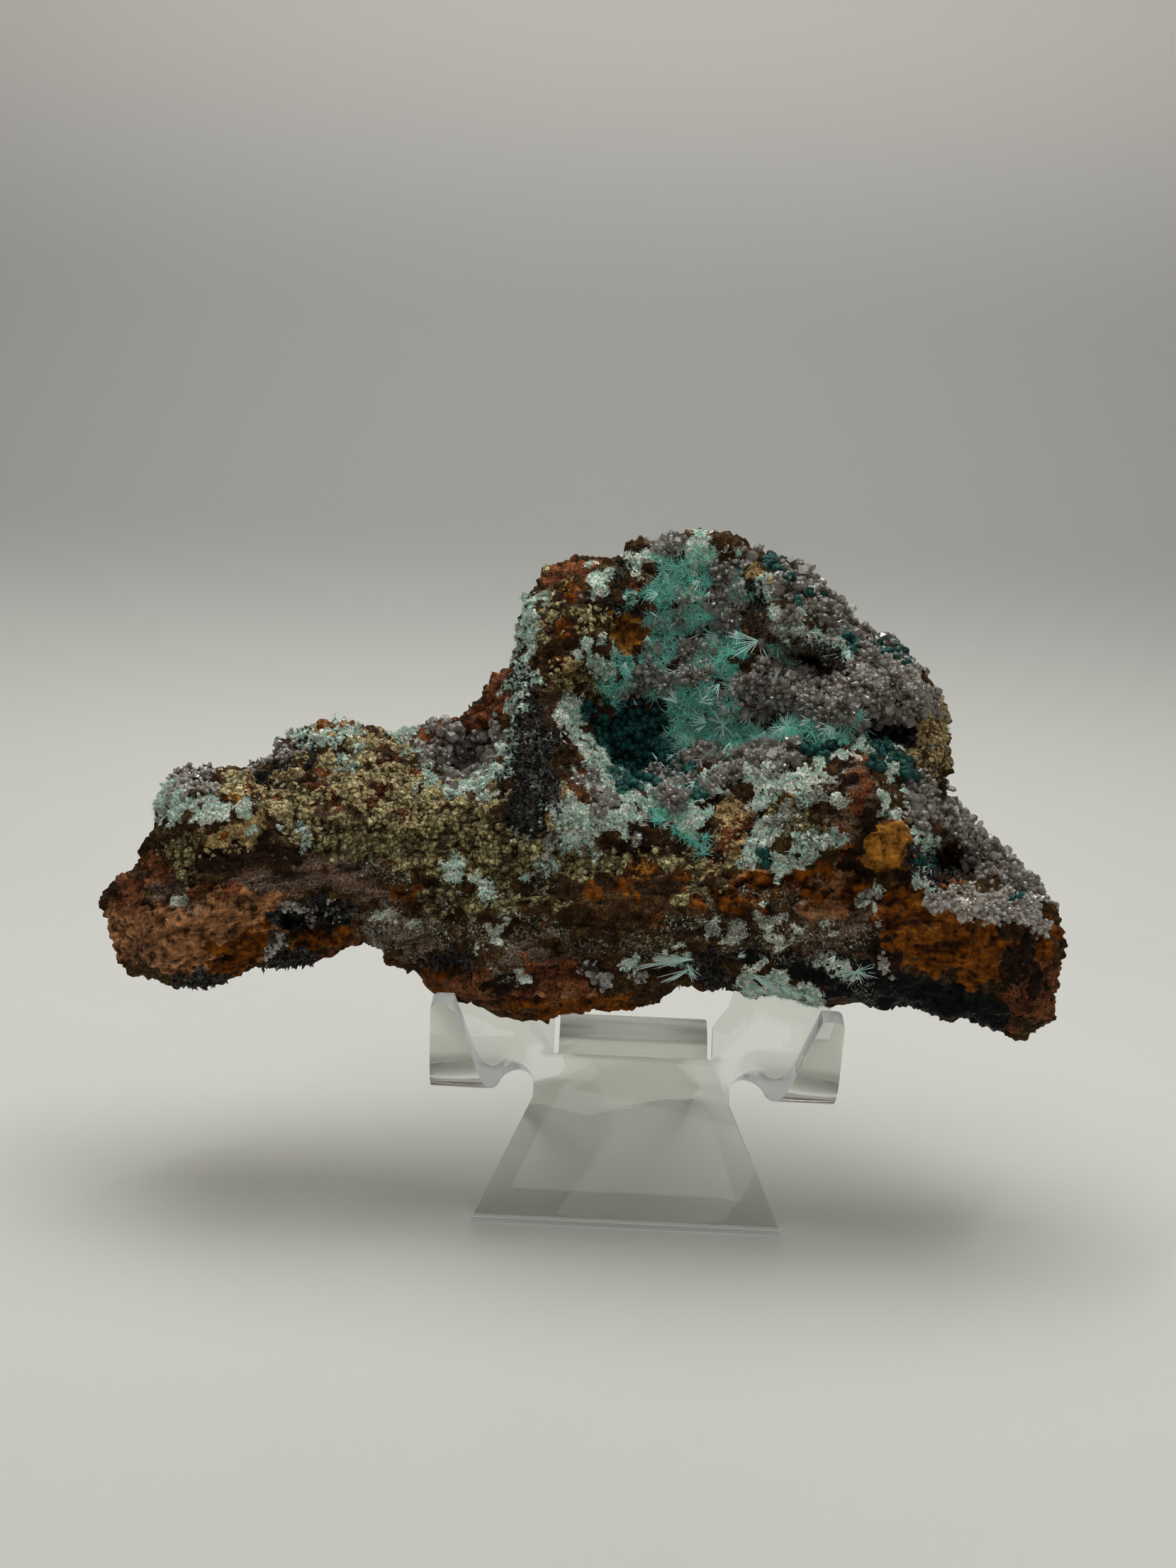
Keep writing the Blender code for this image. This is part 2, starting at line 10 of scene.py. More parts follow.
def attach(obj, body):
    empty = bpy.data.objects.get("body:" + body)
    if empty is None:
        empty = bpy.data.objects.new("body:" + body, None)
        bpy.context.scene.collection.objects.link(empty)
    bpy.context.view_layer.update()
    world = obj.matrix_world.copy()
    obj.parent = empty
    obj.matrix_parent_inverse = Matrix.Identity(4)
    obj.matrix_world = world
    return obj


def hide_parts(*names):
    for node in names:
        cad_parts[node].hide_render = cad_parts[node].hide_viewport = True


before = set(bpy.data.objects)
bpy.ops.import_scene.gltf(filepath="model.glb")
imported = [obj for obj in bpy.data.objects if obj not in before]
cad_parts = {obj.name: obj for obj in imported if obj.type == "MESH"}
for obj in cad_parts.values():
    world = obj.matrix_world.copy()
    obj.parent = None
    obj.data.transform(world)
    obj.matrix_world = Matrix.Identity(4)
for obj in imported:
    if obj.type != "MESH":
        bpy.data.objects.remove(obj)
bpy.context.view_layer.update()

MM = 0.001
PER_MM = 1000.0

# The specimen's viewer-facing frame, the same as its solid was shaped in (mm):
# u to the right, w up and v away from the viewer
FRAME_HEIGHT = 22.3
FRAME_SHIFT = (1.7, -0.2)
FRAME_PITCH_DEG = 10.0
FRAME_ROLL_DEG = 2.7
VIEW_DISTANCE = 300.0
VIEW_CENTRE_W = 33.4
MIDDLE_DEPTH = -13.0
MIDDLE_LEAN = 0.30

# The crystal-lined hollow reaches deeper than the rest of the front (mm)
HOLLOW_U = 7.5
HOLLOW_W = 37.5
HOLLOW_REACH = 11.0
HOLLOW_DEPTH = 9.0

# Camera, matched to the photograph's frame of 1659 x 2212 pixels at 0.1 mm a pixel
SENSOR_HEIGHT = 36.0
PICTURE_HEIGHT = 221.2

# Where the specimen lies on the stand's hooks (mm), so nothing there stands proud
STAND_X = 7.9
HOOK_X = 23.4
HOOK_REACH = 7.0
HOOK_TOP = 32.0

SHEET_THICKNESS = 3.0

# The heat-bent fold above the rear leg is a little hazy (mm)
FOLD_HALF_WIDTH = 10.5
FOLD_LOW = 21.5
FOLD_HIGH = 24.0

# Beyond this depth behind the stand's middle (mm) nothing stands proud of the solid
BACK_REACH = 24.0

# Finish of the surface
ROCK_VOXEL = 0.36
ROCK_TRIANGLES = 196000
EDGE_SOFTNESS = 2.4

# How ragged and holed each mineral's patches are
RAGGED = {
    "mauve": 0.45, "sienna": 0.22, "amber": 0.14, "frost": 0.38, "ochre": 0.26, "rust": 0.40, "olive": 0.40,
    "tan": 0.35, "cream": 0.50, "black": 0.28, "dark": 0.35, "slick": 0.16, "grey": 0.26,
    "white": 0.18, "speckle": 0.5, "emerald": 0.34, "aqua": 0.42, "deep": 0.22,
}

# Where each mineral shows on the front, as strokes of a round brush: every bead
# of a stroke is (u, w, radius) in mm of the viewer-facing frame
FRONT = {
    "mauve": [
        [(-49.5, 19.7, 1.6), (-40, 19.2, 2.0), (-31, 19, 1.6)],
        [(-57, 19.5, 2.2), (-61, 17.5, 1.6)],
        [(-37.5, 29.8, 2.2)],
        [(-34.6, 28.2, 1.5)],
        [(-43, 31.4, 1.2)],
        [(-29, 13.5, 3.0), (-24, 11.5, 3.5)],
        [(-41, 22.5, 2.2), (-30, 22, 2.0)],
        [(-10, 8, 3.0), (-4, 9, 2.5)],
        [(37.5, 13, 2.0), (31, 12, 2.0)],
        [(38.6, 37, 1.9), (38.2, 33.5, 2.2), (37, 29, 1.8), (36, 25, 1.4)],
    ],
    "amber": [
        [(40.6, 24.4, 3.2), (43.2, 24.6, 3.2)],
        [(5.4, 55.6, 3.2), (4.6, 53.2, 2.0), (6.2, 57.4, 1.8)],
        [(8, 21.5, 1.3)],
        [(-50.5, 31.2, 0.9)],
        [(47.2, 18.8, 0.8)],
        [(48, 13.5, 0.7)],
    ],
    "sienna": [
        [(-65, 11.5, 2.8), (-57, 10, 4.2), (-48, 12, 3.8), (-44, 14, 2.4)],
        [(-66, 15, 1.8), (-58, 15, 2.4), (-50, 17, 1.8), (-43, 16.8, 1.2)],
        [(22, 20, 1.4), (28, 19.4, 1.8), (36, 20, 1.6)],
        [(30, 16, 1.2), (36, 15.4, 1.6)],
        [(-8, 5, 1.6), (0, 3.5, 1.2)],
    ],
    # Ochre crust, painted darker than its own colour as shade on the lower front
    "ochre": [
        [(-52, 8.6, 1.8), (-46, 10.5, 2.0)],
        [(-40, 10.5, 1.6), (-34, 11.6, 1.8)],
        [(-51, 26.5, 1.2)],
        [(-50.5, 31.2, 1.2)],
        [(5.2, 55.6, 2.9), (4.2, 53.2, 1.4)],
        [(-4, 55.5, 1.5)],
        [(-5, 51, 1.2)],
        [(-2.5, 60, 1.1)],
        [(40.6, 24.4, 3.6), (43.2, 24.6, 3.6)],
        [(46, 17, 2.6), (50, 12, 4.6), (56, 9.5, 4.2), (54, 5.8, 2.4)],
        [(42, 15, 2.6), (45, 11, 2.6)],
        [(65.5, 12.5, 1.8), (64, 10, 1.4)],
        [(26, 20.3, 1.6), (33, 20.8, 1.9)],
        [(37, 18.6, 1.2), (40, 18.6, 1.2)],
        [(8, 21.5, 1.7)],
        [(13, 20.2, 1.2)],
        [(-27, 17.6, 1.4), (-24.5, 18.2, 1.2)],
        [(-10, 1.6, 1.4), (-2, 2.0, 1.4), (5, 2.6, 1.3)],
        [(-21.8, 5.6, 1.8)],
        [(36.2, 23, 1.4)],
        [(7, 18.2, 0.8), (0, 18.6, 0.8)],
        [(16, 17, 1.0), (23, 18.0, 1.4), (28, 18.8, 1.6), (33, 18, 1.2)],
        [(2, 12.4, 0.6)], [(9.6, 13.6, 0.7)], [(-6.4, 13.2, 0.5)], [(24.6, 15.6, 0.6)],
    ],
    "rust": [
        [(-65, 17.5, 1.6), (-60.5, 21.5, 1.0)],
        [(-56, 17.2, 0.9), (-50, 18.2, 0.9)],
        [(-39.4, 35, 1.8)],
        [(-30, 31.5, 0.9)], [(-26.5, 29.6, 0.9)], [(-23.8, 34.8, 0.8)], [(-35.6, 31, 0.9)],
        [(-28, 36.6, 0.8)], [(-46, 31.6, 1.1)], [(-33.4, 37.4, 0.8)],
        [(-38, 40.6, 1.3), (-35, 41, 1.1)],
        [(-23, 39.9, 1.4)],
        [(-16, 41.5, 2.0), (-12.5, 45, 2.2), (-11, 49, 1.8)],
        [(-6, 63, 1.3), (-1, 64, 1.3), (0.5, 61.8, 1.1)],
        [(7.8, 60.6, 1.8), (9, 58.8, 1.3)],
        [(38.8, 37, 0.9), (38.6, 33.5, 1.0), (37, 29, 0.8), (36, 25, 0.8)],
        [(-19, 5, 1.8), (-10, 4.5, 2.6), (-3, 6.5, 2.2)],
        [(61, 2.2, 2.8), (64.5, 2, 2.2), (65, 7, 1.8)],
        [(51.5, 19.4, 1.8)],
        [(46.5, 47.4, 1.0)],
        [(-1.5, 38.5, 1.0), (-1, 34.5, 1.1), (-0.6, 30.5, 1.0)],
        [(7, 24, 1.1)],
        [(47.2, 18.6, 1.2)],
        [(23, 28, 0.9), (19, 24.5, 1.4)],
    ],
    "olive": [
        [(-21, 26, 4.0), (-14, 25, 5.0), (-7, 23.5, 4.0), (-1, 22.5, 3.2)],
        [(-38, 25.5, 2.0), (-30, 26, 2.6), (-24, 25, 4.0)],
        [(3, 22.5, 2.6), (9, 23, 2.0), (16, 23, 2.2), (23, 21.5, 1.6)],
        [(48.2, 36, 1.6), (46.5, 37.5, 1.6)],
        [(1, 47.2, 1.7)],
        [(-1, 57.5, 1.8)],
        [(-57.5, 25, 2.2), (-57, 21.5, 1.6)],
        [(28, 29, 3.0), (31, 26, 2.4)],
        [(-22, 16.5, 2.2), (-13, 17, 2.0), (-4, 17, 1.0)],
        [(12, 17.5, 1.2), (20, 19, 1.0)],
        [(47.5, 33, 1.2)],
    ],
    "tan": [
        [(20.3, 28.8, 2.5), (19.8, 26, 2.2)],
        [(-40, 39, 1.2), (-36, 40.6, 1.6), (-33.5, 41, 1.0)],
        [(-2.5, 49, 1.0)],
        [(-3.5, 31, 2.2), (-3, 27, 2.2)],
        [(-52, 25.5, 2.0), (-47, 27.5, 1.8)],
        [(24, 61.5, 1.6), (26, 58, 1.2)],
        [(15, 22.6, 0.8), (20, 22.7, 0.6)],
        [(48.8, 44.5, 2.0), (49.4, 41.5, 2.2), (49.4, 38.5, 2.0)],
        [(-47, 33.6, 0.8), (-43, 33.8, 0.8)],
    ],
    "cream": [
        [(-53.5, 33, 1.2), (-46, 33, 1.8), (-39, 32.5, 2.0), (-33, 33.5, 4.0), (-27, 33, 4.4)],
        [(-30, 30.2, 2.6), (-24, 29.8, 2.2)],
        [(-33, 38.8, 1.8), (-27, 38.8, 2.4)],
        [(-43, 36, 1.2), (-40.5, 37.5, 1.0)],
        [(-22, 31.5, 1.8), (-15, 32, 1.9), (-11.5, 34, 1.4)],
        [(-6.2, 60.5, 1.2), (-6.4, 55, 1.2), (-5.2, 50, 0.9), (-3.6, 46.8, 1.0)],
        [(-44, 29.6, 1.4), (-38, 27.8, 1.2)],
        [(1.5, 57, 1.2)],
        [(48.4, 44.5, 1.6), (49.6, 41.0, 1.6), (49.6, 38.5, 1.5)],
        [(28, 27.5, 0.9)],
    ],
    "black": [
        # Black druse and charcoal crust, with painted shade in the recesses marked below
        [(-9.6, 49.5, 1.0), (-8.6, 44, 1.9), (-7.6, 39, 2.9), (-7.4, 34, 3.3), (-8.5, 29.5, 3.2)],
        [(-45.5, 34.4, 1.0), (-42.5, 34.9, 1.1)],
        [(-39.3, 38, 1.1)],
        # Painted shade: these three strokes darken a recess, the top of the pocket and a cavity
        [(4.3, 63.4, 0.9), (4.8, 60.8, 0.9)],
        [(3, 58.8, 0.8), (7, 58.3, 0.8)],
        [(-42.5, 14.5, 1.5), (-37, 16.3, 1.7), (-34, 15.6, 1.6)],
        [(-57, 5.6, 0.9), (-53, 6.4, 0.9)],
        [(-43.7, 8.2, 1.4), (-40, 8.8, 1.0)],
        # Painted shade under the lower lobe
        [(-21.5, 8.3, 0.9), (-17.5, 8.6, 0.9)],
        [(15.5, 8, 1.5), (18, 6.5, 2.2), (17.5, 5, 1.6)],
        [(45.5, 22.6, 1.4), (50, 20.6, 1.5), (53, 19.6, 1.0)],
        # Painted shade: this and the next three strokes darken gaps and cavities
        [(37, 41, 1.0), (42, 40.4, 1.4), (45.5, 40, 1.2)],
        [(23.5, 59.2, 1.3), (23, 62, 0.8)],
        [(29.6, 52.6, 1.2), (33, 51.8, 1.7), (36.2, 50, 1.4)],
        [(44, 41.2, 1.4), (40, 41.6, 1.0)],
        [(2.2, 43.4, 0.9), (6.5, 34.8, 0.8)],
    ],
    "dark": [
        # Dark brown crust; the first stroke at the left edge and the next three, small rings round the
        # raised knobs, are painted shade
        [(-62.5, 25, 1.1), (-60.5, 30.5, 0.9)],
        [(36.6, 26.8, 0.6), (38.4, 28.8, 0.6), (37.0, 21.4, 0.6), (44.5, 20.4, 0.6)],
        [(17.4, 24.5, 0.5), (17.0, 29.5, 0.5), (18.6, 32.4, 0.5)],
        [(34.6, 30, 0.5), (35.8, 36.5, 0.5)],
        [(61, 9, 2.4), (62, 5.5, 2.0)],
        [(25, 56, 1.8), (27, 53.5, 2.0), (33, 52.2, 2.0)],
        [(41, 11, 1.6), (43.5, 9, 1.2)],
        [(0, 6, 1.6)],
        [(-15, 4.8, 1.0), (-8.6, 6.2, 0.9)],
        [(5, 25, 1.1), (12, 26, 1.2)],
        [(-54, 22.5, 2.0), (-47, 23.5, 2.2), (-41, 24.5, 1.4)],
    ],
    "slick": [
        [(21, 8.7, 0.8), (27, 8.3, 1.2), (33, 6.0, 2.2), (42, 4.2, 2.7), (51, 2.6, 2.6), (57, 1, 2)],
        [(36, 8, 1.2), (40, 7.4, 1.2)],
    ],
    "grey": [
        [(-21.5, 38, 2.0), (-18, 38.5, 3.0), (-15, 36.8, 2.0), (-18.5, 35.8, 2.0)],
        [(-14.5, 40.5, 1.0), (-12, 40, 1.4)],
        [(36, 46, 3.2), (41, 48, 3.2), (46, 44.5, 2.0), (41, 44, 2.6), (35, 43.6, 1.6)],
        [(28.4, 63, 1.6), (32.6, 59.7, 1.7), (37.6, 55.7, 1.6), (42, 51.5, 2.0), (46, 49.5, 1.0)],
        [(21, 46, 2.8), (27, 46.5, 3.6), (33, 45.6, 2.6)],
        [(16, 52, 2.4), (15, 49, 1.8)],
        [(9.5, 66.3, 1.3), (12, 66.6, 1.3)],
        [(20.4, 64, 1.6), (20.5, 58.5, 2.4), (18, 56.2, 1.6)],
        [(6, 48.6, 1.8), (9.5, 47.2, 1.8), (5, 46.2, 1.0)],
        [(8.5, 52, 1.5)],
        [(12, 31, 2.0)],
        [(9.6, 34, 1.0), (17, 37.6, 1.6)],
        [(18, 33.6, 1.5), (23, 36.6, 1.5), (28, 38, 1.3)],
        [(49, 31, 1.8), (53, 26.5, 2.2), (58, 21.5, 2.2), (62, 17.5, 1.8)],
        [(46.5, 33, 1.8), (47.5, 29, 1.4)],
        [(-47, 35.6, 0.9), (-42, 38, 1.0)],
        [(-57.5, 33.2, 2.0), (-54, 33, 1.8)],
        [(-42, 16.5, 0.6), (-35.2, 14.6, 0.5)],
        [(-44.5, 11, 1.0)],
        [(-1, 6.9, 0.4), (4, 6.6, 0.4)], [(7.5, 6.2, 0.4)],
        [(2, 31.5, 1.6), (-0.5, 33.5, 1.2)],
        [(24, 50.5, 1.2), (29, 49.5, 1.0)],
        [(13, 59, 1.2)],
    ],
    "white": [
        [(48.5, 17.5, 1.2), (52, 16.3, 1.6), (57, 16.2, 1.8), (62, 15.2, 1.9), (64, 13.4, 1.4)],
        [(37, 46.5, 1.8), (41.5, 48.8, 2.2), (45, 47.4, 1.8)], [(34.5, 53.8, 0.6)],
        [(42.5, 8.2, 0.9), (44.2, 6.8, 0.8)],
        [(48, 19.4, 0.8)],
        [(38.5, 17.8, 0.4), (41.5, 16.9, 0.5)],
        [(-27.6, 14.9, 0.8)],
    ],
    "speckle": [
        [(13, 14, 1.8), (22, 12.5, 2.4), (32, 12, 2.4), (39, 12, 1.4)],
        [(24, 17.4, 1.2), (31, 17.4, 1.2)],
        [(-29, 13.5, 3.0), (-22, 12.5, 3.2), (-16, 12, 2.0)],
        [(-2, 11, 1.8), (6, 10.5, 1.8), (12, 11, 1.6)],
        [(-33, 22.5, 0.8), (-25, 20, 1.2)],
        [(-57, 17, 0.9)],
        [(-12, 8, 2.0), (-8, 12, 2.0)],
        [(-8, 41, 1.0), (-7, 36, 1.6), (-7, 31, 1.6)],
        [(-13, 15, 1.2), (-4, 19.5, 1.4)],
        [(27, 9.5, 1.0), (34, 9, 1.2), (38, 5, 1.2)],
        [(-47, 20, 0.9)],
    ],
    "frost": [
        [(17.6, 13.6, 0.5), (18.4, 11.6, 0.8)], [(20.6, 10.8, 0.6), (22.6, 11.6, 0.5)],
        [(16.6, 15.0, 0.3), (17.2, 12.6, 0.5)], [(19.6, 13.6, 0.4), (21.4, 12.4, 0.5)],
        [(25.2, 13.5, 0.3), (26.4, 11.6, 0.4)], [(28.2, 14.6, 0.3), (28.6, 12.8, 0.35)],
        [(31.8, 10.0, 0.45), (33.4, 8.6, 0.5)], [(33.6, 12.6, 0.3), (34.6, 11.2, 0.35)],
        [(37.5, 16.8, 0.6), (40, 15.6, 0.6)], [(41.4, 18.2, 0.4)],
        [(23.5, 17, 0.3)], [(30, 16.8, 0.3)],
        [(-30, 15.4, 0.3)], [(-24.5, 13.6, 0.4)], [(-20.6, 16.2, 0.3)],
        [(-15, 10.5, 0.3)], [(-12.4, 12.6, 0.6), (-11.2, 13.8, 0.4)], [(-8.6, 7.4, 0.4)],
        [(-58, 17.4, 0.4)],
        [(-2.8, 45.6, 0.9), (-3.6, 42.4, 0.7)],
        [(5, 27.4, 0.9), (8, 27.8, 0.7)],
        [(27, 34, 1.5), (31, 33.6, 1.6), (34, 31.5, 1.2)],
        [(26, 26.5, 1.2), (30.5, 29.5, 1.4)],
        [(-6, 25.5, 1.2), (-1, 26.2, 1.0)],
        [(27.0, 56.4, 0.9), (29.6, 54.9, 1.0), (33.4, 53.5, 0.9), (36.2, 52.8, 0.7)],
        [(49.0, 43.8, 0.5)], [(49.4, 39.5, 0.6)],
    ],
    "emerald": [
        [(15, 65, 2.0), (16.4, 63.4, 2.2), (12.5, 62.5, 2.0), (11.6, 65.2, 1.2)],
        [(21.5, 61, 1.4), (19, 60, 1.2)],
        [(10.4, 60.4, 1.6), (14, 60.2, 1.8), (16.4, 57.6, 1.6)],
        [(10.6, 57.6, 1.5), (12.4, 55.5, 2.4), (10.0, 53.0, 1.3)],
        [(4.6, 50.2, 1.0), (7.5, 51.2, 1.2)],
        [(13.2, 52.2, 1.6), (17.5, 51.0, 1.6), (20.5, 51.6, 1.0)],
        [(18, 55, 1.3), (21, 54, 0.7)],
        [(3.5, 47, 1.4), (9, 49, 1.4), (13, 45, 2.6), (18, 44.2, 2.4), (20, 42, 2.0)],
        [(13, 41, 2.2), (18, 40, 2.4), (23, 40.5, 1.8)],
        [(28, 41, 2.0), (33, 41, 1.6), (36, 42.3, 0.9)],
        [(9, 30.5, 1.0), (12, 27.9, 1.1), (15.5, 26.6, 1.1)],
        [(15.5, 32.5, 1.4)],
        [(20, 49.5, 1.2), (18.5, 47.5, 1.2)],
        [(27.5, 51.8, 0.8)],
        [(5.6, 59, 0.9)],
    ],
    "aqua": [
        [(-59.2, 31.5, 1.3), (-58.5, 28.5, 1.3)],
        [(-56, 29, 1.5), (-53, 29.5, 1.3), (-50, 29.8, 1.1), (-48.3, 28.4, 0.8)],
        [(-40, 39.6, 0.7), (-35.5, 39.2, 0.9), (-33, 39.8, 0.9), (-34, 37.4, 0.8)],
        [(-41.2, 27, 0.9), (-39, 25.2, 0.8)],
        [(-27, 40, 0.7), (-24.5, 38.5, 0.7), (-23, 36, 0.8), (-21.5, 33.6, 1.1), (-18, 32.7, 0.9)],
        [(-18, 32.7, 0.9), (-14.5, 34, 0.9), (-11.5, 36.5, 1.0), (-10.8, 39, 1.0), (-10.2, 43, 1.0)],
        [(-10.2, 43, 1.0), (-9.6, 46, 1.1), (-9, 50, 1.2), (-8.6, 54, 1.3), (-8, 58.5, 1.1)],
        [(-19.6, 20.9, 1.2), (-18.4, 22.1, 0.9)],
        [(-15.6, 19.5, 0.6), (-13.8, 18.8, 0.5)],
        [(-9, 19.5, 0.6)], [(-6.4, 20.8, 0.8), (-5, 21.6, 0.6)], [(-3, 23.3, 0.5), (0, 24, 0.6)],
        [(-10.3, 26.5, 0.9)],
        [(1.6, 61.6, 1.5), (4, 59.9, 0.9)],
        [(0.2, 51.6, 0.6), (0.8, 50, 0.8), (2.5, 48.8, 0.9), (1.5, 53.5, 0.7)],
        [(-2, 44, 0.9), (-1.8, 41, 1.3), (0, 37.5, 1.5), (1, 35, 1.8), (5, 31.5, 2.1), (9, 30, 1.9)],
        [(9, 30, 1.9), (13, 28.4, 1.3), (16.5, 28, 1.2)],
        [(-4, 28.6, 1.6), (0.5, 29, 2.1), (4, 28.6, 1.9)],
        [(16.5, 30.5, 1.1), (17, 33.6, 1.0), (19.5, 35.8, 0.9)],
        [(24.5, 35.5, 1.6), (25.5, 31.5, 1.5), (24.8, 28, 1.4), (24, 24.8, 1.1)],
        [(23.5, 23.2, 1.1), (27, 22.9, 1.0), (31, 24, 1.3), (34.2, 25.2, 1.1)],
        [(33, 38, 0.9), (37, 38.8, 0.8), (42, 38.0, 0.7), (43.0, 36, 0.3), (42.6, 33, 0.3)],
        [(42.6, 33, 0.3), (42.2, 30, 0.5), (43.5, 28.6, 0.6)],
        [(46.2, 27.3, 0.7), (47.2, 24, 0.6), (45.8, 20.8, 0.7), (47.2, 19.7, 0.7)],
        [(29, 32.5, 1.4), (33, 35.5, 1.2)],
        [(22.6, 6.2, 0.8), (26, 4.8, 1.6), (30, 3.7, 1.5), (33, 2.9, 0.9)],
        [(6, 8.5, 0.3), (11, 8.6, 0.6), (14.0, 8.2, 0.8)],
        [(5.5, 65, 0.7), (8.5, 64.2, 1.0), (11.4, 65.2, 0.9), (18, 65.4, 0.8)],
        [(13, 66.6, 1.0), (16.5, 66.8, 0.9), (13.8, 63.4, 0.8)],
        [(17, 58.8, 1.0), (14.5, 60.2, 1.0)],
        [(36, 7.9, 0.5), (39, 7.2, 0.6)],
        [(25.8, 61.5, 0.6), (26.8, 57.8, 0.7), (29.5, 55.2, 0.8), (33.5, 53.8, 0.8), (36.5, 52.4, 0.8)],
    ],
    "deep": [
        [(-0.8, 43.6, 0.9), (2, 43, 1.5), (2.6, 40, 1.7), (3, 37, 1.3)],
        [(5.5, 43, 2.0), (9, 41.5, 2.6), (11, 39, 2.2), (8, 37, 2.8), (6.4, 34.0, 1.8)],
        [(4.5, 40, 2.4), (5, 36, 2.2), (8.4, 35.6, 2.0), (7.2, 38.4, 2.6)],
        [(11, 35.5, 1.3), (15, 32, 1.0)],
        [(26, 65.2, 0.9), (27.4, 63.4, 0.9), (27.8, 61.8, 0.7)],
        [(31, 60, 0.8)],
        [(37.5, 53.7, 0.8)],
        [(41, 53, 0.7), (43.5, 51, 0.9), (45, 50.3, 0.7)],
        [(30.6, 38.6, 0.9), (33.5, 38, 0.8)],
        [(41, 37.4, 0.9), (44.5, 36, 0.9), (45.6, 34.8, 0.7)],
        [(47.2, 22.2, 0.8)],
        [(60.5, 17.4, 0.5)],
        [(25.5, 22.3, 0.6)],
    ],
}

# The hidden back, in the same form: broken brown faces with a few crystal patches
BACK = {
    "mauve": [[(-30, 30, 8.0), (-20, 22, 6.0)], [(38, 24, 7.0)]],
    "amber": [[(36, 12, 3.0)], [(-50, 16, 3.0)]],
    "sienna": [[(-58, 12, 6.0), (-42, 15, 4.0)], [(10, 20, 4.0), (24, 30, 4.0)]],
    "ochre": [[(-44, 12, 4.0)], [(30, 12, 6.0), (48, 8, 5.0)], [(6, 52, 5.0)], [(58, 14, 4.0)]],
    "rust": [
        [(-8, 12, 7.0), (12, 14, 6.0)], [(18, 56, 5.0), (34, 46, 5.0)],
        [(-60, 24, 4.0)], [(-8, 52, 4.0)],
    ],
    "olive": [[(-34, 34, 6.0), (-16, 34, 5.0)], [(14, 34, 8.0), (24, 24, 5.0)]],
    "tan": [[(-48, 28, 4.0)], [(2, 26, 4.0)], [(44, 34, 3.0)]],
    "cream": [[(-28, 38, 3.0)], [(26, 38, 3.0)]],
    "black": [[(42, 5, 5.0), (56, 3, 3.0)], [(-12, 42, 4.0)], [(-44, 20, 2.5)], [(20, 8, 3.0)]],
    "dark": [[(-20, 12, 4.0)], [(60, 20, 4.0)], [(10, 44, 3.0)]],
    "slick": [],
    "grey": [
        [(12, 64, 3.0), (24, 62, 3.5), (34, 55, 4.0), (44, 48, 3.0)],
        [(-44, 34, 3.0)], [(54, 24, 4.0)],
    ],
    "white": [[(60, 16, 2.0)]],
    "speckle": [[(-10, 20, 8.0), (20, 16, 8.0)], [(-50, 22, 5.0)]],
    "frost": [[(-16, 24, 2.0)], [(36, 14, 2.0)]],
    "emerald": [[(30, 58, 1.5)]],
    "aqua": [
        [(-7, 55, 2.0), (-2, 62, 2.0)], [(10, 42, 3.0), (17, 37, 2.0)],
        [(-38, 31, 2.5)], [(48, 40, 2.0)],
    ],
    "deep": [[(27, 64, 1.0)], [(41, 53, 1.0)]],
}

